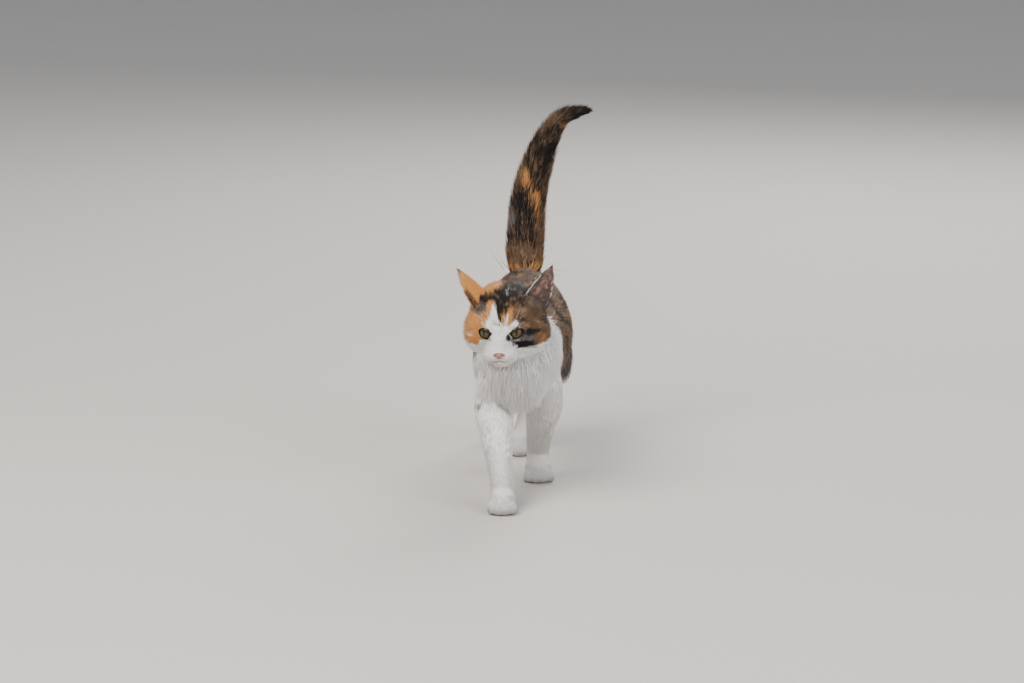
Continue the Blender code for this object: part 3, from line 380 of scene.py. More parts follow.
def ear_surface(name, rows=26, columns=17):
    """A pointed cup: rows run from root to tip and columns across a bow, on two sheets.

    The half width falls as (1 - t^1.9)^0.85 and is drawn in by 0.45 (1 - t)^5 at the root, the
    depth falls as 1 - 0.9 t^1.3, and the bow is 1 - u^2. It gives the points, faces, share of the
    length t, place across u, and 1 on the inner sheet.
    """
    base, tip, facing, half = EARS[name]
    along = np.array(tip) - np.array(base)
    length = np.linalg.norm(along)
    along = along / length
    facing = np.array(facing)
    facing = unit(facing - along * (facing @ along))
    across = np.cross(along, facing)
    t = np.linspace(0.0, 1.0, rows)[:, None]
    u = np.linspace(-1.0, 1.0, columns)[None, :]
    sheets = []
    for wall in (0.0, EAR_WALL):
        wide = (half - wall) * (1.0 - t ** 1.9) ** 0.85 * (1.0 - 0.45 * (1.0 - t) ** 5) + 0.03
        deep = (EAR_DEPTH - 0.5 * wall) * (1.0 - 0.9 * t ** 1.3)
        bow = deep * (1.0 - u * u) - wall * (1.0 - 0.6 * np.abs(u))
        place = np.array(base) + along * (length * t - EAR_ROOT * (1.0 - t))[..., None]
        sheets.append(place + across * (wide * u)[..., None] + facing * (0.55 * deep - bow)[..., None])
    points = np.concatenate([sheet.reshape(-1, 3) for sheet in sheets])
    count = rows * columns
    outer = grid_faces(rows, columns, False)
    inner = outer[:, ::-1] + count
    index = np.arange(count).reshape(rows, columns)
    edge = np.concatenate([index[:, 0], index[-1, 1:], index[-2::-1, -1], index[0, -2:0:-1]])
    nearby = np.roll(edge, -1)
    rim = np.concatenate([np.stack([edge, nearby, nearby + count], -1),
                          np.stack([edge, nearby + count, edge + count], -1)])
    rim = outward(points, rim, points.mean(axis=0))
    if crossed(points, outer).sum(axis=0) @ facing > 0:
        outer, inner = outer[:, ::-1], inner[:, ::-1]
    shares, places = (np.tile(np.broadcast_to(values, (rows, columns)).ravel(), 2) for values in (t, u))
    return points, np.concatenate([outer, inner, rim]), shares, places, np.repeat((0.0, 1.0), count)


def foot_of(x, front, turn, width):
    """A foot's rounded masses: heel, instep and four toes."""
    forms = [ellipsoid((0.0, back * FOOT_LENGTH, height),
                       (wide * width + NAP, long * FOOT_LENGTH + NAP, high + NAP))
             for back, height, wide, long, high in FOOT_MASSES]
    wide, long, high = TOE_SIZES
    forms += [ellipsoid((across * width, back, TOE_HEIGHT),
                        (wide * width * size + 0.8 * NAP, long * size + NAP, high * size + NAP))
              for across, back, size in TOES]
    return [turned(form, turn, (x, front, 0.0)) for form in forms]


def with_nap(row):
    """A leg's station, thicker by the nap where it is low."""
    nap = NAP if row[2] < NAP_BELOW else 0.0
    return row[:3] + (row[3] + nap, row[4] + nap)


def fused(surface, voxel):
    """The overlapping closed surfaces as one skin, drawn again on a grid of cubes."""
    mesh = mesh_from("fused", *surface)
    thing = bpy.data.objects.new("fused", mesh)
    bpy.context.scene.collection.objects.link(thing)
    remesh = thing.modifiers.new("remesh", "REMESH")
    remesh.mode = "VOXEL"
    remesh.voxel_size = voxel * CM
    graph = bpy.context.evaluated_depsgraph_get()
    drawn = bpy.data.meshes.new_from_object(thing.evaluated_get(graph))
    points = np.empty(3 * len(drawn.vertices), np.float32)
    drawn.vertices.foreach_get("co", points)
    drawn.calc_loop_triangles()
    faces = np.empty(3 * len(drawn.loop_triangles), np.int32)
    drawn.loop_triangles.foreach_get("vertices", faces)
    bpy.data.objects.remove(thing)
    bpy.data.meshes.remove(mesh)
    bpy.data.meshes.remove(drawn)
    return points.reshape(-1, 3).astype(float) / CM - SHIFT, faces.reshape(-1, 3)


class Skin:
    """The skin as arrays: points, faces, normals, and at each point the fields that the coat follows."""

    def __init__(self):
        forms = [tube(TRUNK, 40), tube(NECK, 32)]
        forms += [tube([with_nap(row) for row in stations], 24) for stations in LEGS.values()]
        forms += [tube([row[:4] + row[3:4] for row in TAIL], 20, side_axis=(0.0, 1.0, 0.0))]
        forms += [ellipsoid(centre, sizes) for centre, sizes in MASSES]
        forms += [form for foot in FEET for form in foot_of(*foot)]
        skull = [ellipsoid(centre, sizes, 40, 20) for centre, sizes in SKULL]
        forms += [(from_head(points), faces) for points, faces in skull]
        dome, faces = ellipsoid((0.0, 0.0, 0.0), (EYE_RADIUS + LID_DOME,) * 3)
        forms += [(from_eye(dome, side), faces) for side in SIDES]
        points, faces = fused(joined(forms), SKIN_GRAIN)
        points = spread_evenly(points, faces, SKIN_ROUNDS)
        points[:, 2] = np.maximum(points[:, 2], SKIN_LOW)
        local = to_head(points)
        for side in SIDES:
            place = eye_local(local, side)
            open_eye = (almond_of(place, side, 0.02) < 1.0) & (place[:, 1] < 0.0)
            sunk = from_eye(SOCKET * EYE_RADIUS * unit(place), side)
            points = np.where(open_eye[:, None], sunk, points)
        ears = [ear_surface(name) for name in EARS]
        blank = np.zeros(len(points))
        self.points, self.faces = joined([(points, faces)] + [ear[:2] for ear in ears])
        self.normals = normals_of(self.points, self.faces)
        numbers = [np.full(len(ear[0]), k + 1.0) for k, ear in enumerate(ears)]
        self.ear = np.concatenate([blank] + numbers)
        self.ear_share, self.ear_across, self.ear_inside = (
            np.concatenate([blank] + [ear[k] for ear in ears]) for k in (2, 3, 4))
        self.measure()

    def measure(self):
        """Each point's part of the body, its share along the part's path, and its angle round it."""
        points = self.points
        tables = [TRUNK, NECK] + list(LEGS.values()) + [TAIL]
        count = len(points)
        best, owner = np.full(count, 1e9), np.zeros(count, int)
        share, angle, edge = np.zeros((3, count))
        along = np.zeros((count, 3))
        for number, table in enumerate(tables):
            rows = smooth_rows(table, 8)
            radius = rows[:, 3] if number == TAIL_PART else 0.5 * (rows[:, 3] + rows[:, 4])
            gaps = np.linalg.norm(points[:, None, :] - rows[None, :, :3], axis=2)
            near = np.argmin(gaps, axis=1)
            ratio = gaps[np.arange(count), near] / radius[near]
            closer = ratio < best
            tangents = unit(np.gradient(rows[:, :3], axis=0))
            offset = points - rows[near, :3]
            across = unit(np.cross(tangents[near], (0.0, 1.0, 0.3)))
            other = np.cross(tangents[near], across)
            turn = np.arctan2((offset * other).sum(1), (offset * across).sum(1)) / (2 * np.pi) + 0.5
            best = np.where(closer, ratio, best)
            owner = np.where(closer, number, owner)
            share = np.where(closer, near / (len(rows) - 1), share)
            angle = np.where(closer, turn, angle)
            along = np.where(closer[:, None], tangents[near], along)
            edge = np.where(closer, rows[near, 4] - rows[near, 3], edge)
        local = to_head(points)
        ahead = (points - np.array(HEAD_PLANE[0])) @ np.array(HEAD_PLANE[1])
        owner = np.where((ahead > 0.0) | (self.ear > 0), HEAD_PART, owner)
        head = owner == HEAD_PART
        polar = np.arctan2(np.hypot(local[:, 0], local[:, 2]), 2.0 - local[:, 1]) / np.pi
        share = np.where(head, polar, share)
        angle = np.where(head, np.arctan2(local[:, 0], local[:, 2]) / (2 * np.pi) + 0.5, angle)
        self.owner, self.share, self.angle, self.local = owner, share, angle, local
        # What tells the coat's pieces apart: the part, and three measures in centimetres
        self.part = np.where(self.ear > 0, EAR_PART, owner)
        self.length_back, self.face_back = points[:, 1], local[:, 1]
        self.ragged_height = points[:, 2] + 1.1 * waves(points, 0.9, 31)
        self.lay_coat(along, edge)

    def lay_coat(self, along, edge):
        """The way the hair lies, its length, thickness, lift and number, by part of the body."""
        points, normals, local = self.points, self.normals, self.local
        owner, share = self.owner, self.share
        x, y, z = points.T
        fields = np.zeros((len(points), 7))

        chest = ramp(y, 11.5, 7.5) * ramp(normals[:, 1], 0.35, -0.35)
        side = 1.0 - ramp(normals[:, 2], -0.2, 0.7)
        ruff = ramp(x, 1.0, -1.0)
        beside = (ramp(np.abs(x - 0.8), 1.6, 2.8) * ramp(z, 16.0 - 2.2 * ruff, 13.0 - 1.6 * ruff)
                  * ramp(y, 17.0, 13.5))
        lay(fields, np.isin(owner, TRUNK_PARTS),
            np.stack([0.0 * y, 1.0 - 0.9 * chest, -0.22 - 0.35 * side - 1.0 * chest], -1),
            1.9 + 0.5 * side + 0.3 * chest, 0.118 - 0.022 * chest,
            (1.0 - 0.15 * chest) * (1.0 - 0.55 * beside), 80.0 + 60.0 * chest)

        leg = np.isin(owner, FORELEGS + HINDLEGS)
        high = ramp(z, 6.0, 12.0)
        behind = ramp(y, 20.0, 24.0)
        down = along + np.array((0.0, 0.35, -0.2))
        lay(fields, leg, down, 0.70 + 0.08 * np.clip(z - 3.0, 0, 4) + 1.2 * high, 0.080 + 0.045 * high,
            0.15 + (0.25 + 0.45 * behind) * high, 150.0 - 76.0 * high)
        toes = ramp(z, 2.6, 1.2)
        lay(fields, leg & (z < 2.6),
            down * (1 - toes)[:, None] + np.array((0.0, -1.0, -0.45)) * toes[:, None],
            0.60 - 0.2 * toes, 0.065, 0.13 - 0.03 * toes, 210.0 * ramp(normals[:, 2], -0.95, -0.6))

        lay(fields, owner == TAIL_PART, along, 2.4 - 0.8 * share - 1.2 * ramp(share, 0.78, 1.0),
            0.115 - 0.04 * share, np.maximum(edge * 1.02, 0.05), 210.0 + 80.0 * share)

        nose = local - np.array(NOSE_TIP)
        far = np.linalg.norm(nose, axis=1)
        swept = np.array((0.0, 0.9, -0.45))
        aside = np.abs(local[:, 0])
        cheek = ramp(aside, 2.0, 3.4) * ramp(local[:, 2], 0.8, -1.2)
        crest = ramp(local[:, 2], 1.4, 2.6) * ramp(local[:, 0], 0.7, -0.8) * ramp(local[:, 1], 0.2, 1.6)
        temple = ramp(aside, 1.5, 2.7) * ramp(local[:, 2], -1.0, 0.2) * ramp(local[:, 2], 2.5, 1.5)
        temple = temple * ramp(local[:, 1], -0.2, 0.8) * ramp(local[:, 1], 4.4, 3.0)
        lay(fields, owner == HEAD_PART,
            unit(nose @ HEAD_AXES.T) + swept * ramp(far, 3.5, 6.5)[:, None],
            0.22 + 0.11 * np.minimum(far, 6.0) + 0.85 * cheek + 0.4 * crest + 0.35 * temple,
            0.036 + 0.009 * np.minimum(far, 6.0),
            0.07 + 0.055 * np.minimum(far, 5.0) + 0.12 * cheek + 0.42 * crest + 0.50 * temple,
            400.0 - 36.0 * np.minimum(far, 6.5))

        tips = unit(np.array([np.array(tip) - np.array(base) for base, tip, _, _ in EARS.values()]))
        fringe = (self.ear_inside * ramp(np.abs(self.ear_across), 0.25, 0.9)
                  * ramp(self.ear_share, 0.95, 0.5))
        lay(fields, self.ear > 0, tips[np.clip(self.ear.astype(int) - 1, 0, 1)], 0.38 + 0.35 * fringe,
            0.050 - 0.014 * self.ear_inside, 0.06 + 0.22 * fringe,
            220.0 - 150.0 * self.ear_inside + 60.0 * fringe)

        head = (owner == HEAD_PART)[:, None]
        lie, rest, faces = unit(fields[:, :3]), fields[:, 3:6], self.faces
        self.lie = unit(np.where(head, spread_evenly(lie, faces, 8), spread_evenly(lie, faces, 30)))
        self.length, self.wide, self.lift = np.where(
            head, spread_evenly(rest, faces, 6), spread_evenly(rest, faces, 50)).T
        self.dense = fields[:, 6] * self.clear_of_eyes()
        shown = points + normals * (0.6 * self.lift)[:, None] + self.lie * (0.5 * self.length)[:, None]
        self.marks = markings(self, shown)

    def clear_of_eyes(self):
        """Nought in the lids' opening, on nose and lips and in the groove between, else one."""
        local, nose = self.local, self.local - np.array(NOSE_TIP)
        across = np.abs(local[:, 0])
        bare = (across < 0.50) & (np.abs(nose[:, 2]) < 0.30) & (nose[:, 1] < 0.6)
        lips = np.abs(local[:, 2] - mouth_height(local[:, 0])) < 0.10
        lips = lips & (across < 0.7 * MOUTH_HALF) & (local[:, 1] < 0.2)
        groove = (across < 0.09) & (nose[:, 2] < 0.0) & (local[:, 2] > MOUTH_HEIGHT) & (nose[:, 1] < 1.2)
        closed = bare | lips | groove
        for side in SIDES:
            place = eye_local(local, side)
            closed = closed | ((almond_of(place, side, 0.17) < 1.0) & (place[:, 1] < 0.3))
        return np.where(closed, 0.0, 1.0)


def lay(fields, chosen, lie, *values):
    """Fill the chosen rows: the way the hair lies, then its length, thickness, lift and number."""
    rows = np.column_stack([lie] + [np.broadcast_to(value, len(fields)) for value in values])
    fields[chosen] = rows[chosen]


def almond_of(place, side, margin):
    """Under one inside the lids' opening widened by the margin, at places in the eye's axes."""
    tilt = place[:, 2] + EYE_DROP - EYE_SLANT * side * place[:, 0] / EYE_OPENING[0]
    limit = (EYE_OPENING[1] + margin) * np.where(tilt > 0, UPPER_LID, 1.0)
    return (place[:, 0] / (EYE_OPENING[0] + margin)) ** 2 + np.abs(tilt / limit) ** (1 / LID_POWER)


def mouth_height(across):
    """Height of the mouth's line: a shallow W that rises at the corners."""
    share = np.minimum(np.abs(across) / MOUTH_HALF, 1.0)
    return MOUTH_HEIGHT - 0.16 * np.sin(np.pi * np.minimum(1.0, 1.25 * share)) + 0.16 * share ** 3


def face_front(across, height):
    """How far forward the face reaches: the foremost of the skull's rounded masses at each place."""
    front = np.full(np.shape(across), 9.0)
    for centre, sizes in SKULL:
        inside = 1.0 - ((across - centre[0]) / sizes[0]) ** 2 - ((height - centre[2]) / sizes[2]) ** 2
        reach = centre[1] - sizes[1] * np.sqrt(np.maximum(inside, 0))
        front = np.minimum(front, np.where(inside > 0, reach, 9.0))
    return front


def eye_axes(side):
    """The turn of one eyeball in the head, as rows to multiply places by."""
    turn = math.radians(EYE_TURN * side)
    c, s = math.cos(turn), math.sin(turn)
    return np.array([(c, s, 0.0), (-s, c, 0.0), (0.0, 0.0, 1.0)])


def eye_local(local, side):
    """Places in the head's axes carried to one eyeball's: x across, y back along the gaze, z up."""
    return (local - np.array((side * EYE_SPACING, 0.0, 0.0))) @ eye_axes(side).T


def from_eye(points, side):
    """Places in one eyeball's axes carried to the drawing."""
    return from_head(points @ eye_axes(side) + np.array((side * EYE_SPACING, 0.0, 0.0)))


def ramp(values, start, end):
    """Nought before start and one after end, smooth between them; start may be the greater."""
    t = np.clip((values - start) / (end - start), 0.0, 1.0)
    return t * t * (3.0 - 2.0 * t)


def waves(points, size, seed):
    """Soft noise near -1 to 1: a sum of sines of random direction about the given size."""
    rng = np.random.default_rng(seed)
    ways = unit(rng.normal(size=(9, 3))) * rng.uniform(0.7, 1.6, (9, 1)) * 2 * np.pi / size
    return np.sin(points @ ways.T + rng.uniform(0, 6.28, 9)).sum(axis=1) / 3.6


def picture_place(points):
    """Where places in the drawing fall in the picture, in pixels from its left and top."""
    offset = points - np.array(CAMERA_PLACE)
    pitch = math.radians(90.0 - CAMERA_PITCH)
    depth = offset[:, 1] * math.cos(pitch) - offset[:, 2] * math.sin(pitch)
    height = offset[:, 2] * math.cos(pitch) + offset[:, 1] * math.sin(pitch)
    scale = CAMERA_LENS / CAMERA_SENSOR * PICTURE[0]
    return PICTURE[0] / 2 + scale * offset[:, 0] / depth, PICTURE[1] / 2 - scale * height / depth


def blot(x, y, centre, sizes, turn, soft):
    """A soft ellipse: one inside, falling to nought past its edge."""
    c, s = math.cos(math.radians(turn)), math.sin(math.radians(turn))
    across = (x - centre[0]) * c + (y - centre[1]) * s
    upward = -(x - centre[0]) * s + (y - centre[1]) * c
    return ramp(np.hypot(across / sizes[0], upward / sizes[1]), 1.0 + soft, 1.0 - soft)


# Patches of the face: kind, centre and half sizes in pixels, turn in degrees and strength
FACE_PATCHES = (
    ("brown", (530, 313), (17, 16), 0.0, 0.95),
    ("brown", (537, 335), (12, 13), 0.0, 0.90),
    ("black", (510, 293), (19, 12), 0.0, 0.85),
    ("grey", (535, 302), (10, 8), 20.0, 0.50),
    ("white", (507.5, 293), (1.4, 5), -10.0, 0.55),
    ("grey", (480, 309), (8, 6.5), -20.0, 0.80),
    ("black", (480, 308), (5, 4), 20.0, 0.45),
    ("black", (488.0, 298), (9, 6.5), 0.0, 0.70),
    ("orange", (487.5, 287.5), (15, 6.5), -12.0, 0.95),
    # painted highlight: a pale cream spot on the crown's orange
    ("white", (497.5, 287.0), (4.0, 2.4), -30.0, 0.35),
    ("orange", (484, 319), (5, 8), 10.0, 0.55),
    ("orange", (472, 321), (8.5, 8), 10.0, 0.95),
    ("orange", (474.0, 339.5), (7, 6.0), 20.0, 0.90),
    ("white", (470.5, 334.8), (3.4, 1.7), 0.0, 0.42),
    ("orange", (490.0, 308), (3.4, 7.5), 4.0, 0.85),
    ("black", (500, 308), (4.2, 13.5), -9.0, 0.95),
    ("orange", (503.2, 320.5), (2.1, 7), 6.0, 0.80),
    ("orange", (510.2, 316.5), (2.7, 9), 3.0, 1.00),
    ("white", (506.8, 321), (1.1, 6), 4.0, 0.65),
    ("black", (506.5, 308), (2.6, 5), 0.0, 0.55),
    ("black", (518, 320.5), (5.5, 1.5), 20.0, 0.60),
    ("black", (526, 309), (7, 1.5), 30.0, 0.40),
    ("black", (531, 316), (8, 1.4), 25.0, 0.40),
    ("white", (516.0, 324.5), (4.6, 1.4), 25.0, 0.70),
    ("brown", (544, 328), (6.0, 17), 0.0, 0.85),
    ("grey", (529.5, 336.0), (7, 4.2), 10.0, 0.55),
    ("black", (528.0, 333.0), (7, 1.8), 8.0, 0.80),
    ("black", (543, 319), (3.0, 7), 0.0, 0.65),
    ("orange", (541, 338), (5.0, 8), 0.0, 0.45),
    ("grey", (521.5, 341.3), (11.5, 6.0), 6.0, 0.85),
    ("black", (523.5, 343.6), (9, 4.2), 8.0, 0.90),
    ("white", (518.0, 338.9), (5.0, 0.9), 0.0, 0.50),
    ("black", (531, 330.6), (10.5, 1.8), 2.0, 0.98),
    ("black", (532.4, 346.0), (3.0, 2.8), 0.0, 0.85),
    ("black", (471.5, 329.4), (6.5, 1.1), 3.0, 0.55),
    ("white", (463.5, 330), (1.6, 12), 0.0, 0.75),
)
# Dark skin and hair that run down from the inner corners of the eyes, laid over the blaze
EYE_CORNERS = (
    ("black", (508.9, 337.0), (2.4, 4.9), 20.0, 0.98),
    ("grey", (490.2, 340.0), (1.4, 2.4), -10.0, 0.60),
)
# Patches of the tail's front in the same way
TAIL_PATCHES = (
    ("brown", (520.5, 176), (5, 14), 18.0, 0.70),
    ("white", (518.5, 171), (2.6, 13), 20.0, 0.45),
    ("orange", (527.0, 181), (4.5, 9), 15.0, 0.70),
    ("brown", (546.0, 182), (5, 13), 8.0, 0.55),
    ("orange", (535.0, 202), (5, 13), -12.0, 0.85),
    ("black", (521.5, 204), (6, 11), 15.0, 0.80),
    ("grey", (511.0, 220), (6, 13), 6.0, 0.85),
    ("brown", (541.0, 231), (8, 26), 0.0, 0.85),
    ("orange", (536.5, 222), (2.4, 11), 0.0, 0.45),
    ("brown", (520.0, 253), (17, 9), 0.0, 0.75),
    ("orange", (539.5, 260), (7, 6), 0.0, 0.42),
    ("orange", (521.0, 264), (19, 3.2), 0.0, 0.45),
    ("brown", (554.5, 119), (5, 6), 30.0, 0.85),
    ("orange", (564.0, 125), (4, 3.4), 30.0, 0.50),
    ("white", (545.5, 124), (2.6, 8), 25.0, 0.40),
)
KINDS = ("orange", "brown", "black", "grey", "white")
# How far each tuft's shares of the colours stray, and how strongly the greatest then prevails
MARK_JITTER = 0.22
MARK_POWER = 4


def lay_patch(marks, kind, strength):
    """Blend the marks, which hold orange, brown, black and grey, towards one kind."""
    strength = strength[:, None]
    goal = np.zeros(4)
    if kind != "white":
        goal[KINDS.index(kind)] = 1.0
    return marks * (1 - strength) + goal * strength


def lay_patches(marks, patches, where, u, v, soft):
    """Blend the marks by a table of soft ellipses in the picture, one after the other."""
    for kind, centre, sizes, turn, strength in patches:
        marks = lay_patch(marks, kind, where * blot(u, v, centre, sizes, turn, soft) * strength)
    return marks


def sharpened(marks, rng):
    """The shares with white as a fifth, each jittered and raised to a power, again as four of one."""
    shares = np.column_stack([marks, 1.0 - marks.sum(axis=1)]).clip(0.0, 1.0)
    jitter = rng.uniform(-MARK_JITTER, MARK_JITTER, shares.shape) * (shares > 0.05)
    shares = np.maximum(shares + jitter, 1e-4) ** MARK_POWER
    return (shares / shares.sum(axis=1, keepdims=True))[:, :4]


def layered(marks):
    """Shares of orange, brown, black and grey as how strongly each is laid over those before it."""
    left = 1.0 - np.cumsum(marks[:, ::-1], axis=1)[:, ::-1] + marks
    return (marks / np.maximum(left, 1e-3)).clip(0.0, 1.0)


def markings(skin, points):
    """Shares of orange, brown, black and grey where the skin's hairs show; white is what is left."""
    local = to_head(points)
    x, y, z = points.T
    rough = waves(points, 2.6, 3)
    fine = waves(points, 0.9, 4)
    streak = waves(points * np.array((1.0, 0.25, 1.0)), 0.8, 5)
    u, v = picture_place(points)
    facing = skin.normals[:, 1]
    marks = np.zeros((len(points), 4))

    # The coloured coat of back and flanks, down to a ragged line above collar, belly and legs
    edge = 12.6 - 1.6 * ramp(y, 14.0, 24.0) + 6.6 * ramp(y, 16.5, 10.5) + 0.9 * rough
    edge = edge - 1.7 * ramp(x, 1.5, 4.0) + 2.3 * ramp(x, 0.2, -1.4) * ramp(y, 27.0, 22.0)
    dark_coat = ramp(z, edge - 0.5, edge + 0.6) * ramp(y, 6.2, 8.0 + 0.4 * rough)
    dark_coat = dark_coat * (1.0 - ramp(u, 484, 478) * ramp(v, 335, 342) * ramp(y, 27.0, 23.0))
    upper = dark_coat * ramp(z, 16.6, 19.0)
    marks = lay_patch(marks, "brown", dark_coat)
    marks = lay_patch(marks, "black", dark_coat * ramp(0.7 * rough + 0.6 * streak, 0.0, 0.8) * 0.85)
    marks = lay_patch(marks, "orange",
                      dark_coat * ramp(waves(points, 4.4, 9) + 0.4 * fine, 0.55, 1.05) * 0.7)
    marks = lay_patch(marks, "grey", dark_coat * ramp(z, edge + 2.8, edge + 0.3) * 0.75)
    marks = lay_patch(marks, "grey", upper * ramp(fine + streak, -0.9, 0.5) * 0.55)

    # The tail: black, streaked with brown and orange, patched in front, and its tip black
    tail = (skin.owner == TAIL_PART) * 1.0
    before = tail * ramp(facing, 0.45, -0.05)
    marks = lay_patch(marks, "black", tail * 0.88)
    marks = lay_patch(marks, "brown",
                      tail * ramp(fine + streak, 0.0, 1.1) * ramp(skin.share, 0.95, 0.7) * 0.75)
    marks = lay_patch(marks, "orange", (tail - before) * ramp(streak + 0.8 * rough, 0.35, 1.1)
                      * ramp(skin.share, 0.85, 0.6) * 0.6)
    marks = lay_patches(marks, TAIL_PATCHES, before, u, v, 0.5)
    marks = lay_patch(marks, "brown",
                      before * ramp(streak + 0.6 * fine, 0.0, 0.8) * ramp(skin.share, 0.9, 0.6) * 0.75)
    marks = lay_patch(marks, "black", before * ramp(waves(points, 0.55, 12), 0.3, 0.9) * 0.55)
    band = ramp(z, 18.2, 19.2) * ramp(z, 21.2, 20.0) * ramp(y, 29.0, 31.0)
    marks = lay_patch(marks, "orange", band * ramp(streak + 0.4 * fine, -0.2, 0.6) * 0.38)

    # The head: crown, cheeks and nape, then the patches of the face from the front
    head = skin.owner == HEAD_PART
    front = head * ramp(facing, 0.5, 0.0)
    crown = head * ramp(local[:, 2], 0.6, 2.0)
    marks = lay_patch(marks, "white", head * 1.0)
    marks = lay_patch(marks, "brown", crown * 1.0)
    marks = lay_patch(marks, "black", crown * ramp(rough + 0.5 * fine, -0.4, 0.5) * 0.85)
    nape = crown * ramp(local[:, 1], 2.2, 3.6)
    marks = lay_patch(marks, "orange", nape * ramp(local[:, 0] + 0.4 * rough, 0.4, -0.8) * 0.8)
    left_cheek = head * ramp(local[:, 0], 1.6, 2.8) * ramp(local[:, 2] + 0.2 * rough, -1.7, -0.9)
    marks = lay_patch(marks, "brown", left_cheek * 0.9)
    marks = lay_patch(marks, "black", left_cheek * ramp(streak + rough, 0.3, 1.0) * 0.6)
    right_cheek = head * ramp(local[:, 0], -1.9, -2.8) * ramp(local[:, 2] + 0.2 * rough, -1.4, -0.7)
    marks = lay_patch(marks, "orange", right_cheek * 0.85)
    astray = (u + 0.7 * waves(points, 0.7, 21),
              v + 1.2 * waves(points * np.array((1.0, 0.6, 0.35)), 0.45, 22))
    marks = lay_patches(marks, FACE_PATCHES, front, *astray, 0.35)
    flecks = front * ramp(v, 322, 312) * ramp(streak + 0.7 * fine, 0.25, 0.95)
    marks = lay_patch(marks, "brown", flecks * marks[:, KINDS.index("black")] * 0.8)
    ticks = waves(points * np.array((1.0, 0.5, 0.5)), 0.42, 24)
    dark = head * ramp(ticks, 0.2, 0.8) * marks[:, KINDS.index("brown")]
    marks = lay_patch(marks, "black", dark * 0.60)
    pale = head * ramp(-ticks, 0.3, 1.0) * marks[:, KINDS.index("orange")]
    marks = lay_patch(marks, "brown", pale * 0.34)
    half = 1.6 + 7.0 * ramp(v, 306, 336)
    middle = 494.0 + 5.0 * ramp(v, 318, 334)
    blaze = front * ramp(np.abs(u - middle), half + 1.2, half - 1.2) * ramp(v, 303, 309)
    muzzle = front * (ramp(v + 1.5 * rough, 342, 347) * ramp(u, 510, 506))
    marks = lay_patch(marks, "white", np.clip(blaze + muzzle, 0, 1))
    marks = lay_patches(marks, EYE_CORNERS, front, u, v, 0.2)
    marks = lay_patch(marks, "white", head * ramp(local[:, 2], -1.45, -1.95))

    # The ears: orange outside with a brown tip on the right, black outside on the left, pale within
    right, left = skin.ear == 1, skin.ear == 2
    outer = 1.0 - skin.ear_inside
    marks = lay_patch(marks, "orange", right * outer * 0.97)
    marks = lay_patch(marks, "brown", right * outer * ramp(skin.ear_share, 0.84, 0.99) * 0.85)
    strip = right * ramp(skin.ear_across, 0.50, 0.78) * ramp(skin.ear_share, 0.78, 0.50)
    marks = lay_patch(marks, "black", strip * 0.62)
    marks = lay_patch(marks, "black", left * outer * 0.9)
    marks = lay_patch(marks, "grey", (skin.ear > 0) * skin.ear_inside * (0.40 + 0.35 * fine).clip(0, 1))
    rim = (skin.ear > 0) * skin.ear_inside * ramp(np.abs(skin.ear_across), 0.96, 1.0)
    outside = left * ramp(skin.ear_across, 0.0, 0.5)
    rim = rim * (1.0 - outside * (0.45 + 0.55 * ramp(skin.ear_share, 0.50, 0.20)))
    marks = lay_patch(marks, "white", rim * np.where(left, 0.78, 0.6))

    # A small spot at the right elbow
    away = np.linalg.norm((points - np.array((-3.3, 8.2, 9.9))) / (1.0, 1.4, 1.2), axis=1)
    return lay_patch(marks, "grey", ramp(away, 1.2, 0.5) * ramp(streak + fine, -0.2, 0.6) * 0.62)


@functools.lru_cache(maxsize=1)
def skin_of_cat():
    """The skin, worked out once."""
    return Skin()


# ---- finishes

# Hair: the grey of the stored marks, painted shade at the roots, light and dark tufts, and skin under
# hair
GREY_HAIR = (0.12, 0.105, 0.10)
PAINTED_ROOT_SHADE = (0.66, 0.61, 0.58)
TUFT_TINTS = ((0.80, 0.79, 0.78), (1.14, 1.13, 1.12))
# skin under hair: darker as painted shade, and a little pinker as skin is
SHADED_SKIN_TINT = (0.80, 0.74, 0.71)
EAR_SHADE = (0.13, 0.095, 0.08)
WHISKER_WHITES = ((0.45, 0.40, 0.36), (0.92, 0.91, 0.88))
# Eyes: the iris at its edge and with the upper lid's painted shadow, the pupil, the ball round it, and a
# pale lid
IRIS_EDGE = (0.020, 0.015, 0.008)
IRIS_LID_SHADOW = (0.045, 0.032, 0.014)
PUPIL = (0.004, 0.004, 0.003)
ROUND_IRIS = (0.018, 0.012, 0.009)
LID_PALE = (0.42, 0.36, 0.32)
# Nose: its two pinks, its edge, its top, and the painted shade in the nostrils and the groove
NOSE_PINKS = ((0.36, 0.135, 0.12), (0.46, 0.20, 0.175))
NOSE_EDGE = (0.13, 0.055, 0.045)
NOSE_TOP = (0.10, 0.05, 0.045)
NOSTRIL_SHADE = (0.02, 0.01, 0.01)


class Sum:
    """A socket in an expression: arithmetic on it adds Math nodes."""

    def __init__(self, tree, socket):
        self.tree, self.socket = tree, socket

    def math(self, operation, *others):
        """A Math node on this socket and the others."""
        return self.tree.node("ShaderNodeMath", {"operation": operation}, {
            number: value for number, value in enumerate((self,) + others)})

    def __add__(self, other):
        return self.math("ADD", other)

    def __sub__(self, other):
        return self.math("SUBTRACT", other)

    def __mul__(self, other):
        return self.math("MULTIPLY", other)

    def __truediv__(self, other):
        return self.math("DIVIDE", other)

    def __pow__(self, other):
        return self.math("POWER", other)

    def between(self, start, end):
        """Nought before start and one after end, smooth between."""
        return self.tree.node("ShaderNodeMapRange", {"interpolation_type": "SMOOTHSTEP"}, {
            "Value": self, "From Min": start, "From Max": end})


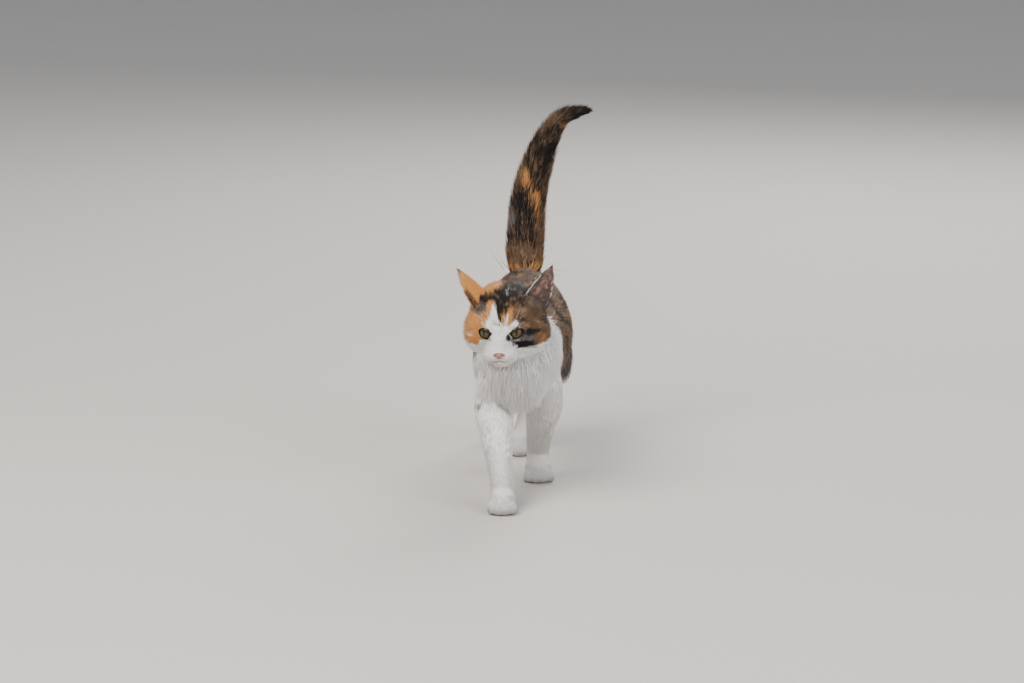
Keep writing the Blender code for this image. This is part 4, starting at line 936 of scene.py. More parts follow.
class Finish:
    """A material and the one way in which its nodes are made."""

    def __init__(self, name):
        self.material = bpy.data.materials.new(name)
        self.material.use_nodes = True
        self.nodes = self.material.node_tree.nodes
        self.links = self.material.node_tree.links
        self.shader = self.nodes["Principled BSDF"]

    def node(self, kind, settings, values, output=0):
        """A node from its type, its settings, and its sockets' values or links."""
        made = self.nodes.new(kind)
        for name, value in settings.items():
            setattr(made, name, value)
        for name, value in values.items():
            self.feed(made.inputs[name], value)
        return Sum(self, made.outputs[output])

    def feed(self, socket, value):
        """Link a socket or set its value."""
        if isinstance(value, Sum):
            self.links.new(value.socket, socket)
        elif hasattr(value, "__len__") and len(value) == 3 and socket.type == "RGBA":
            socket.default_value = tuple(value) + (1.0,)
        else:
            socket.default_value = value

    def mix(self, factor, one, other, blend="MIX"):
        """A colour that goes from one to the other by the factor, or is blended with it."""
        return self.node("ShaderNodeMix", {"data_type": "RGBA", "blend_type": blend},
                         {0: factor, 6: one, 7: other}, 2)

    def attribute(self, name, part):
        """One channel of a stored colour: 0, 1 or 2, or 3 for its alpha."""
        if part == 3:
            return self.node("ShaderNodeAttribute", {"attribute_name": name}, {}, 3)
        color = self.node("ShaderNodeAttribute", {"attribute_name": name}, {}, 0)
        return self.node("ShaderNodeSeparateColor", {}, {0: color}, part)

    def place(self):
        """Object coordinates."""
        return self.node("ShaderNodeTexCoord", {}, {}, 3)

    def noise(self, scale, detail=3.0):
        """Noise over the object's coordinates."""
        return self.node("ShaderNodeTexNoise", {}, {
            "Vector": self.place(), "Scale": scale, "Detail": detail})

    def set(self, **values):
        """Set or link inputs of the shader, with _ for a space in their names."""
        for name, value in values.items():
            self.feed(self.shader.inputs[name.replace("_", " ")], value)

    def bump(self, height, strength, distance):
        """Feed the shader's normal from a height."""
        self.set(Normal=self.node("ShaderNodeBump", {}, {
            "Height": height, "Strength": strength, "Distance": distance}))


def times(color, factor):
    """A colour made lighter or darker."""
    return tuple(factor * value for value in color)


def coat_color(finish, colors):
    """White blended to orange, brown, black and grey by the stored marks."""
    orange = finish.mix(finish.noise(55.0).between(0.35, 0.7), tuple(colors.orange), tuple(colors.gold))
    brown = finish.mix(finish.noise(120.0, 2.0).between(0.45, 0.75), tuple(colors.brown),
                       times(colors.brown, 2.1))
    color = tuple(colors.white)
    for number, layer in enumerate((orange, brown, tuple(colors.black), GREY_HAIR)):
        color = finish.mix(finish.attribute("marks", number), color, layer)
    return color


def coat_finish(colors):
    """Hair: painted shade darkens it towards the root, and each tuft is a little lighter or darker."""
    finish = Finish("coat_hair")
    rise = finish.attribute("tuft", 0)
    # painted shade: each hair is darker towards its root, where shade falls between the tufts
    root_shade = finish.mix(rise.between(-0.4, 0.7), PAINTED_ROOT_SHADE, (1.0, 1.0, 1.0))
    color = finish.mix(1.0, coat_color(finish, colors), root_shade, "MULTIPLY")
    light = finish.mix(finish.attribute("tuft", 1), *TUFT_TINTS)
    finish.set(Base_Color=finish.mix(1.0, color, light, "MULTIPLY"), Roughness=0.7,
               Specular_IOR_Level=0.12, Sheen_Weight=0.03, Sheen_Roughness=0.4)
    return finish.material


def skin_finish(colors):
    """Skin under the hair: the coat's colour, darkened as painted shade and made pinker, with a fine nap
    as bump.
    """
    finish = Finish("cat_skin")
    bare = finish.node("ShaderNodeAttribute", {"attribute_name": "bare"}, {}, 2)
    # painted shade: the skin between the tufts is the coat's colour darkened, and pinker
    under = finish.mix(1.0, coat_color(finish, colors), SHADED_SKIN_TINT, "MULTIPLY")
    pink = finish.mix(finish.noise(160.0, 4.0).between(0.35, 0.65), EAR_SHADE, times(colors.pink, 0.95))
    finish.set(Base_Color=finish.mix(bare, under, pink), Roughness=0.7, Specular_IOR_Level=0.3)
    finish.bump(finish.noise(900.0, 4.0), 0.4, 0.0006)
    return finish.material


def eye_finish(colors):
    """Iris with fibres round an upright pupil, a dark edge and painted shadow of the upper lid at its
    top, under a wet clear coat.
    """
    finish = Finish("cat_eye")
    flat = finish.node("ShaderNodeUVMap", {"uv_map": "gaze"}, {})
    across, upward = (finish.node("ShaderNodeSeparateXYZ", {}, {0: flat}, part) for part in (0, 1))
    across = (across - 0.5) * 2.0
    upward = (upward - 0.5) * 2.0 + EYE_DROP / EYE_RADIUS
    out = (across * across + upward * upward) ** 0.5
    edge = colors.iris_radius / (EYE_RADIUS * CM)
    slit = colors.pupil_width / (EYE_RADIUS * CM)
    turn = upward.math("ARCTAN2", across)
    fibre = finish.node("ShaderNodeTexNoise", {}, {"Vector": finish.node("ShaderNodeCombineXYZ", {}, {
        0: turn * 9.0, 1: out * 3.0, 2: 0.0}), "Scale": 3.0, "Detail": 5.0})
    iris = finish.mix(fibre.between(0.3, 0.75), times(colors.iris, 0.62), times(colors.iris, 1.35))
    iris = finish.mix(out.between(edge * 0.45, edge * 0.15), iris, tuple(
        value * factor for value, factor in zip(colors.iris, (1.05, 1.15, 0.9))))
    iris = finish.mix(out.between(edge * 0.55, edge * 0.98), iris, IRIS_EDGE)
    # painted shadow: the iris darkens towards its top, under the upper lid
    iris = finish.mix((upward / edge).between(0.0, 0.75) * 0.75, iris, IRIS_LID_SHADOW)
    pupil = ((across / slit) ** 2.0 + ((upward - 0.08) / (edge * 0.46)) ** 2.0) ** 0.5
    iris = finish.mix(pupil.between(1.45, 0.60), iris, PUPIL)
    finish.set(Base_Color=finish.mix(out.between(edge * 0.97, edge * 1.05), iris, ROUND_IRIS),
               Roughness=0.25, Coat_Weight=0.4, Coat_Roughness=0.05, Specular_IOR_Level=0.12)
    return finish.material


def lid_finish(colors, coat):
    """Dark moist skin at the lid's edge, which turns to the face's colour outwards."""
    finish = Finish("cat_lid")
    out = finish.attribute("tuft", 0)
    color = finish.mix(out.between(0.6, 1.0), tuple(colors.rim), times(coat.pink, 0.12))
    color = finish.mix(finish.noise(700.0), color, times(colors.rim, 1.4))
    below = out.between(0.7, 1.0) * finish.attribute("tuft", 1)
    finish.set(Base_Color=finish.mix(below, color, LID_PALE), Roughness=0.55, Specular_IOR_Level=0.12)
    finish.bump(finish.noise(1500.0), 0.25, 0.0003)
    return finish.material


def nose_finish():
    """Brownish pink leather, darker at its edge, with painted shade in nostrils and groove, and the
    pebble of a cat's nose.
    """
    finish = Finish("nose_leather")
    color = finish.mix(finish.noise(420.0, 4.0), *NOSE_PINKS)
    color = finish.mix(finish.attribute("tuft", 0).between(0.55, 1.0), color, NOSE_EDGE)
    color = finish.mix(finish.attribute("tuft", 2).between(0.3, 0.9), color, NOSE_TOP)
    finish.set(Base_Color=finish.mix(finish.attribute("tuft", 1), color, NOSTRIL_SHADE), Roughness=0.42,
               Coat_Weight=0.25, Coat_Roughness=0.3)
    finish.bump(finish.node("ShaderNodeTexVoronoi", {"feature": "DISTANCE_TO_EDGE"}, {
        "Vector": finish.place(), "Scale": 2600.0}), 0.35, 0.0003)
    return finish.material


def lips_finish(colors):
    """Dark skin of the lips' edge."""
    finish = Finish("cat_lips")
    finish.set(Base_Color=finish.mix(finish.noise(500.0), times(colors.pink, 0.20),
                                     times(colors.pink, 0.42)), Roughness=0.5)
    finish.bump(finish.noise(1500.0), 0.2, 0.0002)
    return finish.material


def whisker_finish():
    """Stiff white hair, a little darker towards its root."""
    finish = Finish("whisker_hair")
    rise = finish.attribute("tuft", 0)
    finish.set(Base_Color=finish.mix(rise.between(0.0, 0.25), *WHISKER_WHITES), Roughness=0.35)
    return finish.material


# ---- the coat

# How far tips turn from the skin to the way the hair hangs, and how far tufts are shaded with the skin
TURN_DOWN = 0.35
SOFT_SHADE = 0.55
# How deep roots lie, how flat tufts are, and their least height
ROOT_DEPTH = 0.04
FLATNESS = 0.55
TUFT_LOW = 0.01
# Kinds of tuft: each ring's share of the length and width, and the power by which tufts rise
RING_SETS = {
    "spike": (((0.0, 1.0),), 0.62),
    "short": (((0.0, 0.80), (0.50, 1.0)), 0.62),
    "long": (((0.0, 0.66), (0.42, 1.0)), 0.60),
}
# The unwrap's cell for each part of the body: corner and size
BAKE_CELLS = ((0.0, 0.5, 0.5, 0.5), (0.5, 0.0, 0.25, 0.25), (0.0, 0.0, 0.125, 0.5),
              (0.125, 0.0, 0.125, 0.5), (0.25, 0.0, 0.125, 0.5), (0.375, 0.0, 0.125, 0.5),
              (0.75, 0.0, 0.25, 0.5), (0.5, 0.5, 0.5, 0.5))
BAKE_PATCH = 0.003


def tuft_faces(rings):
    """Triangles of one tuft: three sides between the rings, a pointed end and a closed root."""
    faces = [(0, 2, 1)]
    for ring in range(rings - 1):
        for side in range(3):
            a, b = 3 * ring + side, 3 * ring + (side + 1) % 3
            faces += [(a, b, b + 3), (a, b + 3, a + 3)]
    last = 3 * (rings - 1)
    faces += [(last + side, last + (side + 1) % 3, last + 3) for side in range(3)]
    return np.array(faces)


def clumped(tips, roots, size, rng):
    """The middle of the tips that share a wavering cell of the given size, for each tip."""
    cells = np.floor((roots + rng.uniform(-0.33, 0.33, roots.shape) * size[:, None]) / size[:, None])
    _, member = np.unique(cells, axis=0, return_inverse=True)
    member = member.ravel()
    number = np.bincount(member)
    return np.stack([np.bincount(member, tips[:, k]) / number for k in range(3)], -1)[member]


def bake_places(owner, share, angle):
    """Roots on the unwrap: a cell for each part, angle round it across and share along it up."""
    cell = np.array(BAKE_CELLS)[owner]
    return cell[:, :2] + (0.97 * np.stack([angle, share], -1) + 0.01) * cell[:, 2:]


def make_tufts(name, kind, roots, normals, lies, length, wide, lift, marks, places, pull, material, rng):
    """Tufts as closed three-sided spikes on a bent path.

    The path is root + lie * length * s + normal * (lift * (1.25 s^p - 0.35 s^2) - depth * (1 - s)),
    where p is the kind's rising power. It is bent aside by s^2, drawn towards the middle of its
    clump's tips by pull * s^1.4, and turned to the way it hangs by s^2. Each ring is a flat
    triangle across the path, and the last point is the tip.
    """
    rings, rise_power = RING_SETS[kind]
    count = len(roots)
    hang = lies
    lies = unit(lies - normals * (lies * normals).sum(1, keepdims=True))
    side = np.cross(normals, lies)
    lies = unit(lies + side * rng.normal(0.0, 0.16, (count, 1)))
    side = np.cross(normals, lies)
    length = length * rng.uniform(0.72, 1.18, count)
    lift = lift * rng.uniform(0.55, 1.12, count)
    bend = rng.normal(0.0, 0.10, count)
    tips = roots + lies * length[:, None] + normals * (0.9 * lift)[:, None]
    goal = clumped(tips, roots, np.maximum(5.0 * wide, 0.10), rng)
    size = 3 * len(rings) + 1
    points = np.empty((count, size, 3))
    shares = [share for share, _ in rings] + [1.0]
    for number, share in enumerate(shares):
        above = lift * (1.25 * share ** rise_power - 0.35 * share ** 2) - ROOT_DEPTH * (1 - share)
        path = (roots + lies * (length * share)[:, None] + side * (bend * length * share ** 2)[:, None]
                + normals * above[:, None] + (goal - tips) * pull * share ** 1.4
                + (hang - lies) * (TURN_DOWN * length * share ** 2)[:, None])
        if number == len(rings):
            points[:, -1] = path
            continue
        half = 0.5 * wide * rings[number][1]
        for corner, turn in enumerate((0.5, 7 / 6, 11 / 6)):
            points[:, 3 * number + corner] = (
                path + side * (half * math.cos(math.pi * turn))[:, None]
                + normals * (FLATNESS * half * math.sin(math.pi * turn))[:, None])
    faces = (tuft_faces(len(rings))[None] + size * np.arange(count)[:, None, None]).reshape(-1, 3)
    points = points.reshape(-1, 3)
    points[:, 2] = np.maximum(points[:, 2], TUFT_LOW)
    mesh = mesh_from(name, points, faces)
    soft = (1.0 - SOFT_SHADE) * normals_of(points, faces) + SOFT_SHADE * np.repeat(normals, size, axis=0)
    mesh.normals_split_custom_set_from_vertices(unit(soft))
    # rise runs from root to tip; the coat's finish uses it for the painted shade at the roots
    rise = np.append(np.repeat(shares[:-1], 3), 1.0)
    tuft = np.zeros((count, size, 4), np.float32)
    tuft[..., 0] = rise
    tuft[..., 1] = rng.uniform(0.0, 1.0, (count, 1))
    store(mesh, "tuft", tuft.reshape(-1, 4))
    store(mesh, "marks", np.repeat(marks.astype(np.float32), size, axis=0))
    corner = np.column_stack([(0.0, 0.5, 1.0) * len(rings) + (0.5,), rise])
    flat_map(mesh, "OFBake", (places[:, None, :] + BAKE_PATCH * corner[None]).reshape(-1, 2), faces)
    mesh.materials.append(material)
    return piece_from(name, mesh, "coat_calico")


def flat_map(mesh, name, flat, faces):
    """A UV map from each point's place on it."""
    layer = mesh.uv_layers.new(name=name)
    layer.data.foreach_set("uv", flat[faces.ravel()].astype(np.float32).ravel())


def store(mesh, name, values):
    """Keep four values at each point as a colour attribute."""
    layer = mesh.attributes.new(name, "FLOAT_COLOR", "POINT")
    layer.data.foreach_set("color", np.ascontiguousarray(values, np.float32).ravel())


# Coat pieces: name, kind of tuft, how far tips are drawn together, parts of the body, and the
# measure and its limits between which the piece lies
ANY = 99.0
COAT_PIECES = (
    ("coat_face", "short", 0.25, (HEAD_PART,), "face_back", -ANY, 1.0),
    ("coat_head", "short", 0.35, (HEAD_PART,), "face_back", 1.0, ANY),
    ("coat_ears", "short", 0.20, (EAR_PART,), "length_back", -ANY, ANY),
    ("coat_chest", "long", 0.12, TRUNK_PARTS, "length_back", -ANY, 11.0),
    ("coat_shoulders", "long", 0.22, TRUNK_PARTS, "length_back", 11.0, 18.0),
    ("coat_flanks", "long", 0.30, TRUNK_PARTS, "length_back", 18.0, 25.5),
    ("coat_rump", "long", 0.30, TRUNK_PARTS, "length_back", 25.5, ANY),
    ("coat_tail", "long", 0.25, (TAIL_PART,), "length_back", -ANY, ANY),
    ("coat_upper_forelegs", "long", 0.22, FORELEGS, "ragged_height", 6.5, ANY),
    ("coat_thighs", "long", 0.22, HINDLEGS, "ragged_height", 6.5, ANY),
    ("coat_legs", "spike", 0.25, FORELEGS + HINDLEGS, "ragged_height", -ANY, 6.5),
)


def scattered(skin, chosen, fullness, rng):
    """Random roots on the chosen part of the skin, by its area and the coat's density there."""
    faces = skin.faces[chosen[skin.faces].sum(axis=1) >= 2]
    area = 0.5 * np.linalg.norm(crossed(skin.points, faces), axis=1) * skin.dense[faces].min(axis=1)
    count = int(area.sum() * fullness)
    pick = faces[rng.choice(len(faces), count, p=area / area.sum())]
    one, other = rng.uniform(0, 1, (2, count))
    flip = one + other > 1
    one, other = np.where(flip, 1 - one, one), np.where(flip, 1 - other, other)
    return pick, np.stack([1 - one - other, one, other], -1)


def carried(values, pick, weight):
    """Values at the skin's points carried to the roots, which lie in the picked faces."""
    return (values[pick] * (weight if values.ndim == 1 else weight[..., None])).sum(axis=1)


def make_coat(colors):
    """All the coat's pieces over the skin."""
    skin = skin_of_cat()
    material = coat_finish(colors)
    for number, (name, kind, pull, parts, measure, low, high) in enumerate(COAT_PIECES):
        rng = np.random.default_rng(SEED + number)
        values = getattr(skin, measure)
        chosen = np.isin(skin.part, parts) & (values >= low) & (values < high)
        pick, weight = scattered(skin, chosen, colors.fullness, rng)
        roots, normals, lie, length, wide, lift, marks = (
            carried(field, pick, weight) for field in (
                skin.points, skin.normals, skin.lie, skin.length, skin.wide, skin.lift, skin.marks))
        nearest = pick[np.arange(len(pick)), weight.argmax(axis=1)]
        places = bake_places(skin.owner[nearest], skin.share[nearest], skin.angle[nearest])
        marks = layered(sharpened(marks, np.random.default_rng(SEED + 50 + number)))
        piece = make_tufts(name, kind, roots, unit(normals), unit(lie), length, wide, lift, marks,
                           places, pull, material, rng)
        print(name, len(pick), "tufts", len(piece.data.polygons), "triangles")


def whisker_paths(rng):
    """Whiskers and brow hairs: root, way out, length, droop and width."""
    rows = []
    for side in SIDES:
        for row in range(3):
            for step in range(4):
                root = (side * (0.72 + 0.22 * step), -1.80 + 0.28 * step,
                        -1.95 - 0.20 * row + 0.03 * step)
                way = (side * 1.0, 0.10 + 0.25 * step + rng.uniform(-0.1, 0.1),
                       0.02 - 0.25 * row + rng.uniform(-0.08, 0.08))
                rows.append((root, way, 2.9 + 0.35 * step + rng.uniform(-0.4, 0.4), 0.5, 0.026))
        for step in range(2):
            root = (side * (1.45 + 0.35 * step), -0.20, 1.05 + 0.05 * step)
            way = (side * (0.45 + 0.35 * step), -0.30, 1.0 + rng.uniform(-0.15, 0.15))
            rows.append((root, way, 1.6 + rng.uniform(-0.3, 0.4), 0.55, 0.014))
    return rows


def hair_tubes(rows):
    """Single hairs as closed tapered tubes, with the share from root to tip at each point.

    Each runs along root + way * length * s - down * 0.35 * droop * length * s^2, and its width falls
    towards the tip.
    """
    s = np.linspace(0.0, 1.0, 9)
    surfaces = []
    for root, way, length, droop, wide in rows:
        path = (np.array(root) + unit(np.array(way)) * (length * s)[:, None]
                - np.array((0.0, -0.25, 1.0)) * (droop * length * 0.35 * s ** 2)[:, None])
        radius = 0.5 * wide * (1.0 - 0.86 * s)
        surfaces.append(tube(np.column_stack([path, radius, radius]), 5, 1, (0.13, 0.61, 0.78)))
    points, faces = joined(surfaces)
    return points, faces, np.tile(np.concatenate([np.repeat(s, 5), (0.0, 1.0)]), len(rows))


# Stray guard hairs of the rump: root, way out, length, droop and width
GUARD_HAIRS = (
    ((-0.9, 29.6, 20.0), (-0.75, 0.1, 1.0), 2.9, -0.20, 0.060),
    ((-0.6, 30.2, 20.1), (-0.62, 0.1, 1.0), 2.2, 0.05, 0.045),
    ((-0.3, 29.0, 20.2), (-0.9, 0.0, 0.75), 2.0, 0.15, 0.035),
    ((3.6, 28.4, 20.1), (1.0, -0.1, 0.15), 2.6, 0.50, 0.045),
    ((3.8, 28.0, 19.8), (1.0, -0.1, -0.05), 2.2, 0.35, 0.024),
    ((3.2, 28.8, 20.3), (0.9, 0.0, 0.45), 2.4, 0.45, 0.024),
    ((3.4, 31.5, 23.0), (1.0, 0.1, 0.6), 2.0, 0.40, 0.020),
    ((3.5, 32.0, 21.6), (1.0, 0.1, 0.4), 2.2, 0.45, 0.020),
)
# The colour of those hairs as shares of orange, brown, black and grey
GUARD_MARKS = (0.0, 1.0, 0.45, 0.0)


def channels(*values):
    """Four values at each point from three, with one as the last."""
    rows = np.column_stack(np.broadcast_arrays(*values))
    return np.column_stack([rows, np.ones(len(rows))])


def make_whiskers(colors):
    """Whiskers and brow hairs in white, and stray guard hairs of the rump in brown."""
    points, faces, rise = hair_tubes(whisker_paths(np.random.default_rng(SEED + 90)))
    mesh = mesh_from("whiskers", from_head(points), faces)
    store(mesh, "tuft", channels(rise, 0.0, 0.0))
    mesh.materials.append(whisker_finish())
    piece_from("whiskers", mesh, "whisker")
    points, faces, rise = hair_tubes(GUARD_HAIRS)
    mesh = mesh_from("guard_hairs", points, faces)
    # these hairs start at 0.6 of the rise, so their painted root shade is light
    store(mesh, "tuft", channels(0.6 + 0.4 * rise, 0.5, 0.0))
    store(mesh, "marks", np.tile(np.array(GUARD_MARKS), (len(points), 1)))
    mesh.materials.append(coat_finish(colors))
    piece_from("guard_hairs", mesh, "coat_calico")


# ---- eyes, lids and nose

def name_of(side):
    """The cat's own left or right."""
    return "left" if side > 0 else "right"


def make_eye(side, colors):
    """An eyeball: a ball about the gaze with a low clear bulge over the iris, and its flat gaze map.

    It is radius * b * (sin v cos u, -cos v, sin v sin u), where b is 1 plus the bulge near the gaze.
    """
    around, rows = 48, 28
    v = np.pi * np.arange(1, rows) / rows
    u = 2 * np.pi * np.arange(around) / around
    bulge = 1.0 + EYE_BULGE * ramp(v, 0.95, 0.35)
    out = (bulge * np.sin(v))[:, None]
    ball = np.stack([out * np.cos(u), -(bulge * np.cos(v))[:, None] * np.ones(around), out * np.sin(u)],
                    -1).reshape(-1, 3)
    ball = np.vstack([ball, (0.0, -1.0 - EYE_BULGE, 0.0), (0.0, 1.0, 0.0)])
    points = from_eye(ball * EYE_RADIUS, side)
    faces = outward(points, closed_faces(rows - 1, around, inward=True), points.mean(axis=0))
    mesh = mesh_from("eyeball_" + name_of(side), points, faces)
    flat_map(mesh, "gaze", 0.5 + 0.5 * ball[:, [0, 2]], faces)
    mesh.materials.append(eye_finish(colors))
    piece_from("eyeball_" + name_of(side), mesh, "eye", "eye_" + name_of(side))


# Rows of a lid from within the opening outwards: place past the opening, height above the eyeball,
# and shade from the wet edge to the face
LID_ROWS = ((-0.01, -0.10, 0.0), (-0.02, 0.035, 0.1), (0.02, 0.105, 0.3), (0.07, 0.125, 0.55),
            (0.12, 0.11, 0.85), (0.16, 0.05, 1.0), (0.17, -0.10, 1.0))
# How far the inner corner is drawn towards the nose, and down
INNER_CORNER = (0.20, 0.16)
LID_THICKNESS = 0.0003


def make_lids(side, colors, coat):
    """The lids: a rolled edge round an almond on the eyeball, run out and back under the coat.

    Round the almond the place is (wide cos a, high sin a |sin a|^0.2 + slant cos a - drop), pushed
    out by the second parameter and drawn in and down at the inner corner, and set on a sphere whose
    radius rises from the eye's to just above it.
    """
    a = 2 * np.pi * np.arange(72) / 72
    grow, rise, shade = (np.array(LID_ROWS)[:, k][:, None] for k in range(3))
    across = (EYE_OPENING[0] + grow) * np.cos(a)[None]
    upper = np.where(np.sin(a) > 0, UPPER_LID, 1.0)
    lift = (EYE_OPENING[1] + grow) * (upper * np.sin(a) * np.abs(np.sin(a)) ** 0.2)[None]
    lift = lift + EYE_SLANT * side * np.cos(a)[None] - EYE_DROP
    inner = -side * np.cos(a)
    corner = ramp(inner, 0.80, 1.0)[None]
    across = across - side * INNER_CORNER[0] * corner
    lift = lift - INNER_CORNER[1] * corner
    bulge = EYE_BULGE * ramp(np.hypot(across, lift) / EYE_RADIUS, 0.85, 0.34)
    radius = EYE_RADIUS * (1.0 + bulge) + rise
    back = -np.sqrt(np.maximum(radius ** 2 - across ** 2 - lift ** 2, 0.05))
    points = from_eye(np.stack([across, back, lift], -1).reshape(-1, 3), side)
    middle = from_eye(np.zeros((1, 3)), side)
    faces = outward(points, grid_faces(len(LID_ROWS), len(a), True), middle)
    name = "lids_" + name_of(side)
    mesh = mesh_from(name, points, faces)
    below = np.tile(ramp(np.sin(a), 0.1, -0.6) * ramp(inner, 0.35, -0.15), len(LID_ROWS))
    shade = np.repeat(shade, len(a))
    store(mesh, "tuft", channels(shade, below, shade))
    mesh.materials.append(lid_finish(colors, coat))
    solid = piece_from(name, mesh, "skin").modifiers.new("thickness", "SOLIDIFY")
    solid.thickness = LID_THICKNESS
    solid.offset = -1.0


# The nose: half its width, its heights above and below, how far its front bows out, how deep and how
# narrow its back is, and how far it lies from the muzzle's tip
NOSE_HALF = 0.57
NOSE_HEIGHTS = (0.27, 0.42)
NOSE_BOW = 0.30
NOSE_DEPTH = 0.55
NOSE_BACK = (0.8, 1.0, 0.8)
NOSE_SHIFT = (0.0, 0.24, 0.03)
# Its nostrils: place across, half width, half height and depth, and its groove: half width and depth
NOSTRIL_PLACE = 0.27
NOSTRIL_SIZES = (0.11, 0.06)
NOSTRIL_DEPTH = 0.20
NOSE_GROOVE = (0.035, 0.05)


def make_nose():
    """The bare nose: a rounded wedge on the muzzle with two nostrils and a groove.

    Its outline is wide above and narrow below, its front bows out as (1 - r^2.4)^0.5, and the
    nostrils and the groove are dips that fall off smoothly from their middles.
    """
    around, rows = 64, 22
    a = 2 * np.pi * np.arange(around) / around
    r = (np.arange(1, rows + 1) / rows)[:, None]
    narrow = np.where(np.sin(a) < 0, 1.0 - 0.45 * np.abs(np.sin(a)) ** 1.2, 1.0)
    wide = NOSE_HALF * (1.0 + 0.10 * np.cos(4 * a)) * narrow
    x = r * (wide * np.cos(a))[None]
    z = r * (np.where(np.sin(a) > 0, *NOSE_HEIGHTS) * np.sin(a))[None]
    out = np.abs(x) - NOSTRIL_PLACE
    above = z - 0.02 + 0.35 * out
    nostril = np.exp(-((out / NOSTRIL_SIZES[0]) ** 2 + (above / NOSTRIL_SIZES[1]) ** 2))
    groove = np.exp(-(x / NOSE_GROOVE[0]) ** 2) * ramp(z, 0.12, -0.05)
    bow = NOSE_BOW * np.sqrt(np.maximum(1.0 - r ** 2.4, 0.0)) * np.ones_like(x)
    bow = bow - NOSTRIL_DEPTH * nostril - NOSE_GROOVE[1] * groove
    front = np.stack([x, -bow - 0.02, z], -1).reshape(-1, 3)
    back = (front[-around:] + np.array((0.0, NOSE_DEPTH, 0.0))) * np.array(NOSE_BACK)
    points = np.vstack([front, back, (0.0, -0.32, 0.0), (0.0, 0.5, 0.0)])
    points = from_head(points + np.array(NOSE_TIP) + np.array(NOSE_SHIFT))
    faces = outward(points, closed_faces(rows + 1, around), points.mean(axis=0))
    mesh = mesh_from("nose_pad", points, faces)
    plain = np.zeros(around + 2)
    edge = np.concatenate([(r * np.ones_like(x)).ravel(), np.ones(around), (0.0, 1.0)])
    # painted shade: the nostrils' dips and the groove are darkened almost to black
    dark = np.append(np.clip(nostril + 0.7 * groove, 0, 1), plain)
    store(mesh, "tuft", channels(edge, dark, np.append(ramp(z, 0.13, 0.25), plain)))
    mesh.materials.append(nose_finish())
    piece_from("nose_pad", mesh, "nose_leather", "nose")


# The lips' line: its reach, half its width, and how far it stands out, and the groove above it
LIPS_REACH = 0.72 * MOUTH_HALF
LIPS_HALF = 0.046
LIPS_OUT = 0.07
GROOVE_HALF = 0.045
GROOVE_OUT = 0.06
GROOVE_BELOW_TIP = 0.30


def make_mouth(colors):
    """The lips' edge: a thin tube that runs along the mouth's line on the face, and one up to the nose.

    Its height over the mouth is the mouth's line, its front the foremost of the skull's rounded
    masses there, and its width falls to almost nothing at the corners.
    """
    across = np.linspace(-LIPS_REACH, LIPS_REACH, 41)
    height = mouth_height(across)
    half = LIPS_HALF * (1.0 - (across / (0.74 * MOUTH_HALF)) ** 2) + 0.008
    line = np.column_stack([across, face_front(across, height) - LIPS_OUT, height])
    rise = np.linspace(float(mouth_height(0.0)), NOSE_TIP[2] - GROOVE_BELOW_TIP, 9)
    middle = np.zeros(len(rise))
    groove = np.column_stack([middle, face_front(middle, rise) - GROOVE_OUT, rise])
    thin = np.full(len(rise), GROOVE_HALF)
    points, faces = joined([
        tube(np.column_stack([from_head(line), half, 0.8 * half]), 8, 1, (0.0, 1.0, 0.0)),
        tube(np.column_stack([from_head(groove), thin, thin]), 8, 1)])
    mesh = mesh_from("mouth_line", points, faces)
    mesh.materials.append(lips_finish(colors))
    piece_from("mouth_line", mesh, "skin")


def make_skin(colors):
    """One skin for all the flesh, bare inside the ears."""
    skin = skin_of_cat()
    mesh = mesh_from("cat_skin", skin.points, skin.faces)
    store(mesh, "marks", layered(skin.marks))
    bare = mesh.attributes.new("bare", "FLOAT", "POINT")
    bare.data.foreach_set("value", ((skin.ear > 0) * skin.ear_inside).astype(np.float32))
    mesh.materials.append(skin_finish(colors))
    flesh = [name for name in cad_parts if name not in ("eye_left", "eye_right", "nose")]
    piece_from("cat_skin", mesh, "skin", *flesh)
    print("skin triangles", len(mesh.polygons))


# The stage's floor in centimetres: its front edge, where it turns up, the bend's radius, half its
# width, and the shares of its rows that are flat and bent
FLOOR_FRONT = -400
FLOOR_TURN = 700
FLOOR_RADIUS = 120
FLOOR_HALF = 500.0
FLOOR_FLAT, FLOOR_BENT = 0.7, 0.3
# Sky colour and strength, what the lights point at, and each light: place, size, share of the
# strength, and colour
SKY = (0.80, 0.85, 0.92, 1.0)
SKY_STRENGTH = 0.60
AIM = (0.5, 16.0, 14.0)
LIGHTS = {
    "key": ((-1.2, -1.4, 2.2), 1.6, 1.6, (1.0, 0.97, 0.93)),
    "fill": ((1.8, -1.6, 1.2), 1.8, 0.7, (0.95, 0.97, 1.0)),
    "back": ((0.8, 2.2, 1.9), 1.4, 1.0, (1.0, 0.98, 0.95)),
}


def placed(name, data):
    """A new object of the scene."""
    made = bpy.data.objects.new(name, data)
    bpy.context.scene.collection.objects.link(made)
    return made


def make_floor(studio):
    """A pale floor, flat to FLOOR_TURN and bent up behind it by a quarter of a circle."""
    rows, columns = 60, 12
    s = np.linspace(0.0, 1.0, rows)
    turn = (s - FLOOR_FLAT) / FLOOR_BENT * np.pi / 2
    y = np.where(s < FLOOR_FLAT, FLOOR_FRONT + (FLOOR_TURN - FLOOR_FRONT) * s / FLOOR_FLAT,
                 FLOOR_TURN + FLOOR_RADIUS * np.sin(turn))
    z = np.where(s < FLOOR_FLAT, 0.0, FLOOR_RADIUS * (1 - np.cos(turn)))
    x = np.linspace(-FLOOR_HALF, FLOOR_HALF, columns)
    points = np.stack(np.broadcast_arrays(x, y[:, None], z[:, None]), -1).reshape(-1, 3)
    faces = grid_faces(rows, columns, False)
    if crossed(points, faces)[:, 2].sum() < 0:
        faces = faces[:, ::-1]
    mesh = mesh_from("stage_floor", points, faces)
    finish = Finish("stage_floor")
    finish.set(Base_Color=finish.mix(finish.noise(1.5, 2.0), tuple(studio.floor),
                                     times(studio.floor, 0.95)), Roughness=0.9)
    mesh.materials.append(finish.material)
    floor = placed("stage_floor", mesh)


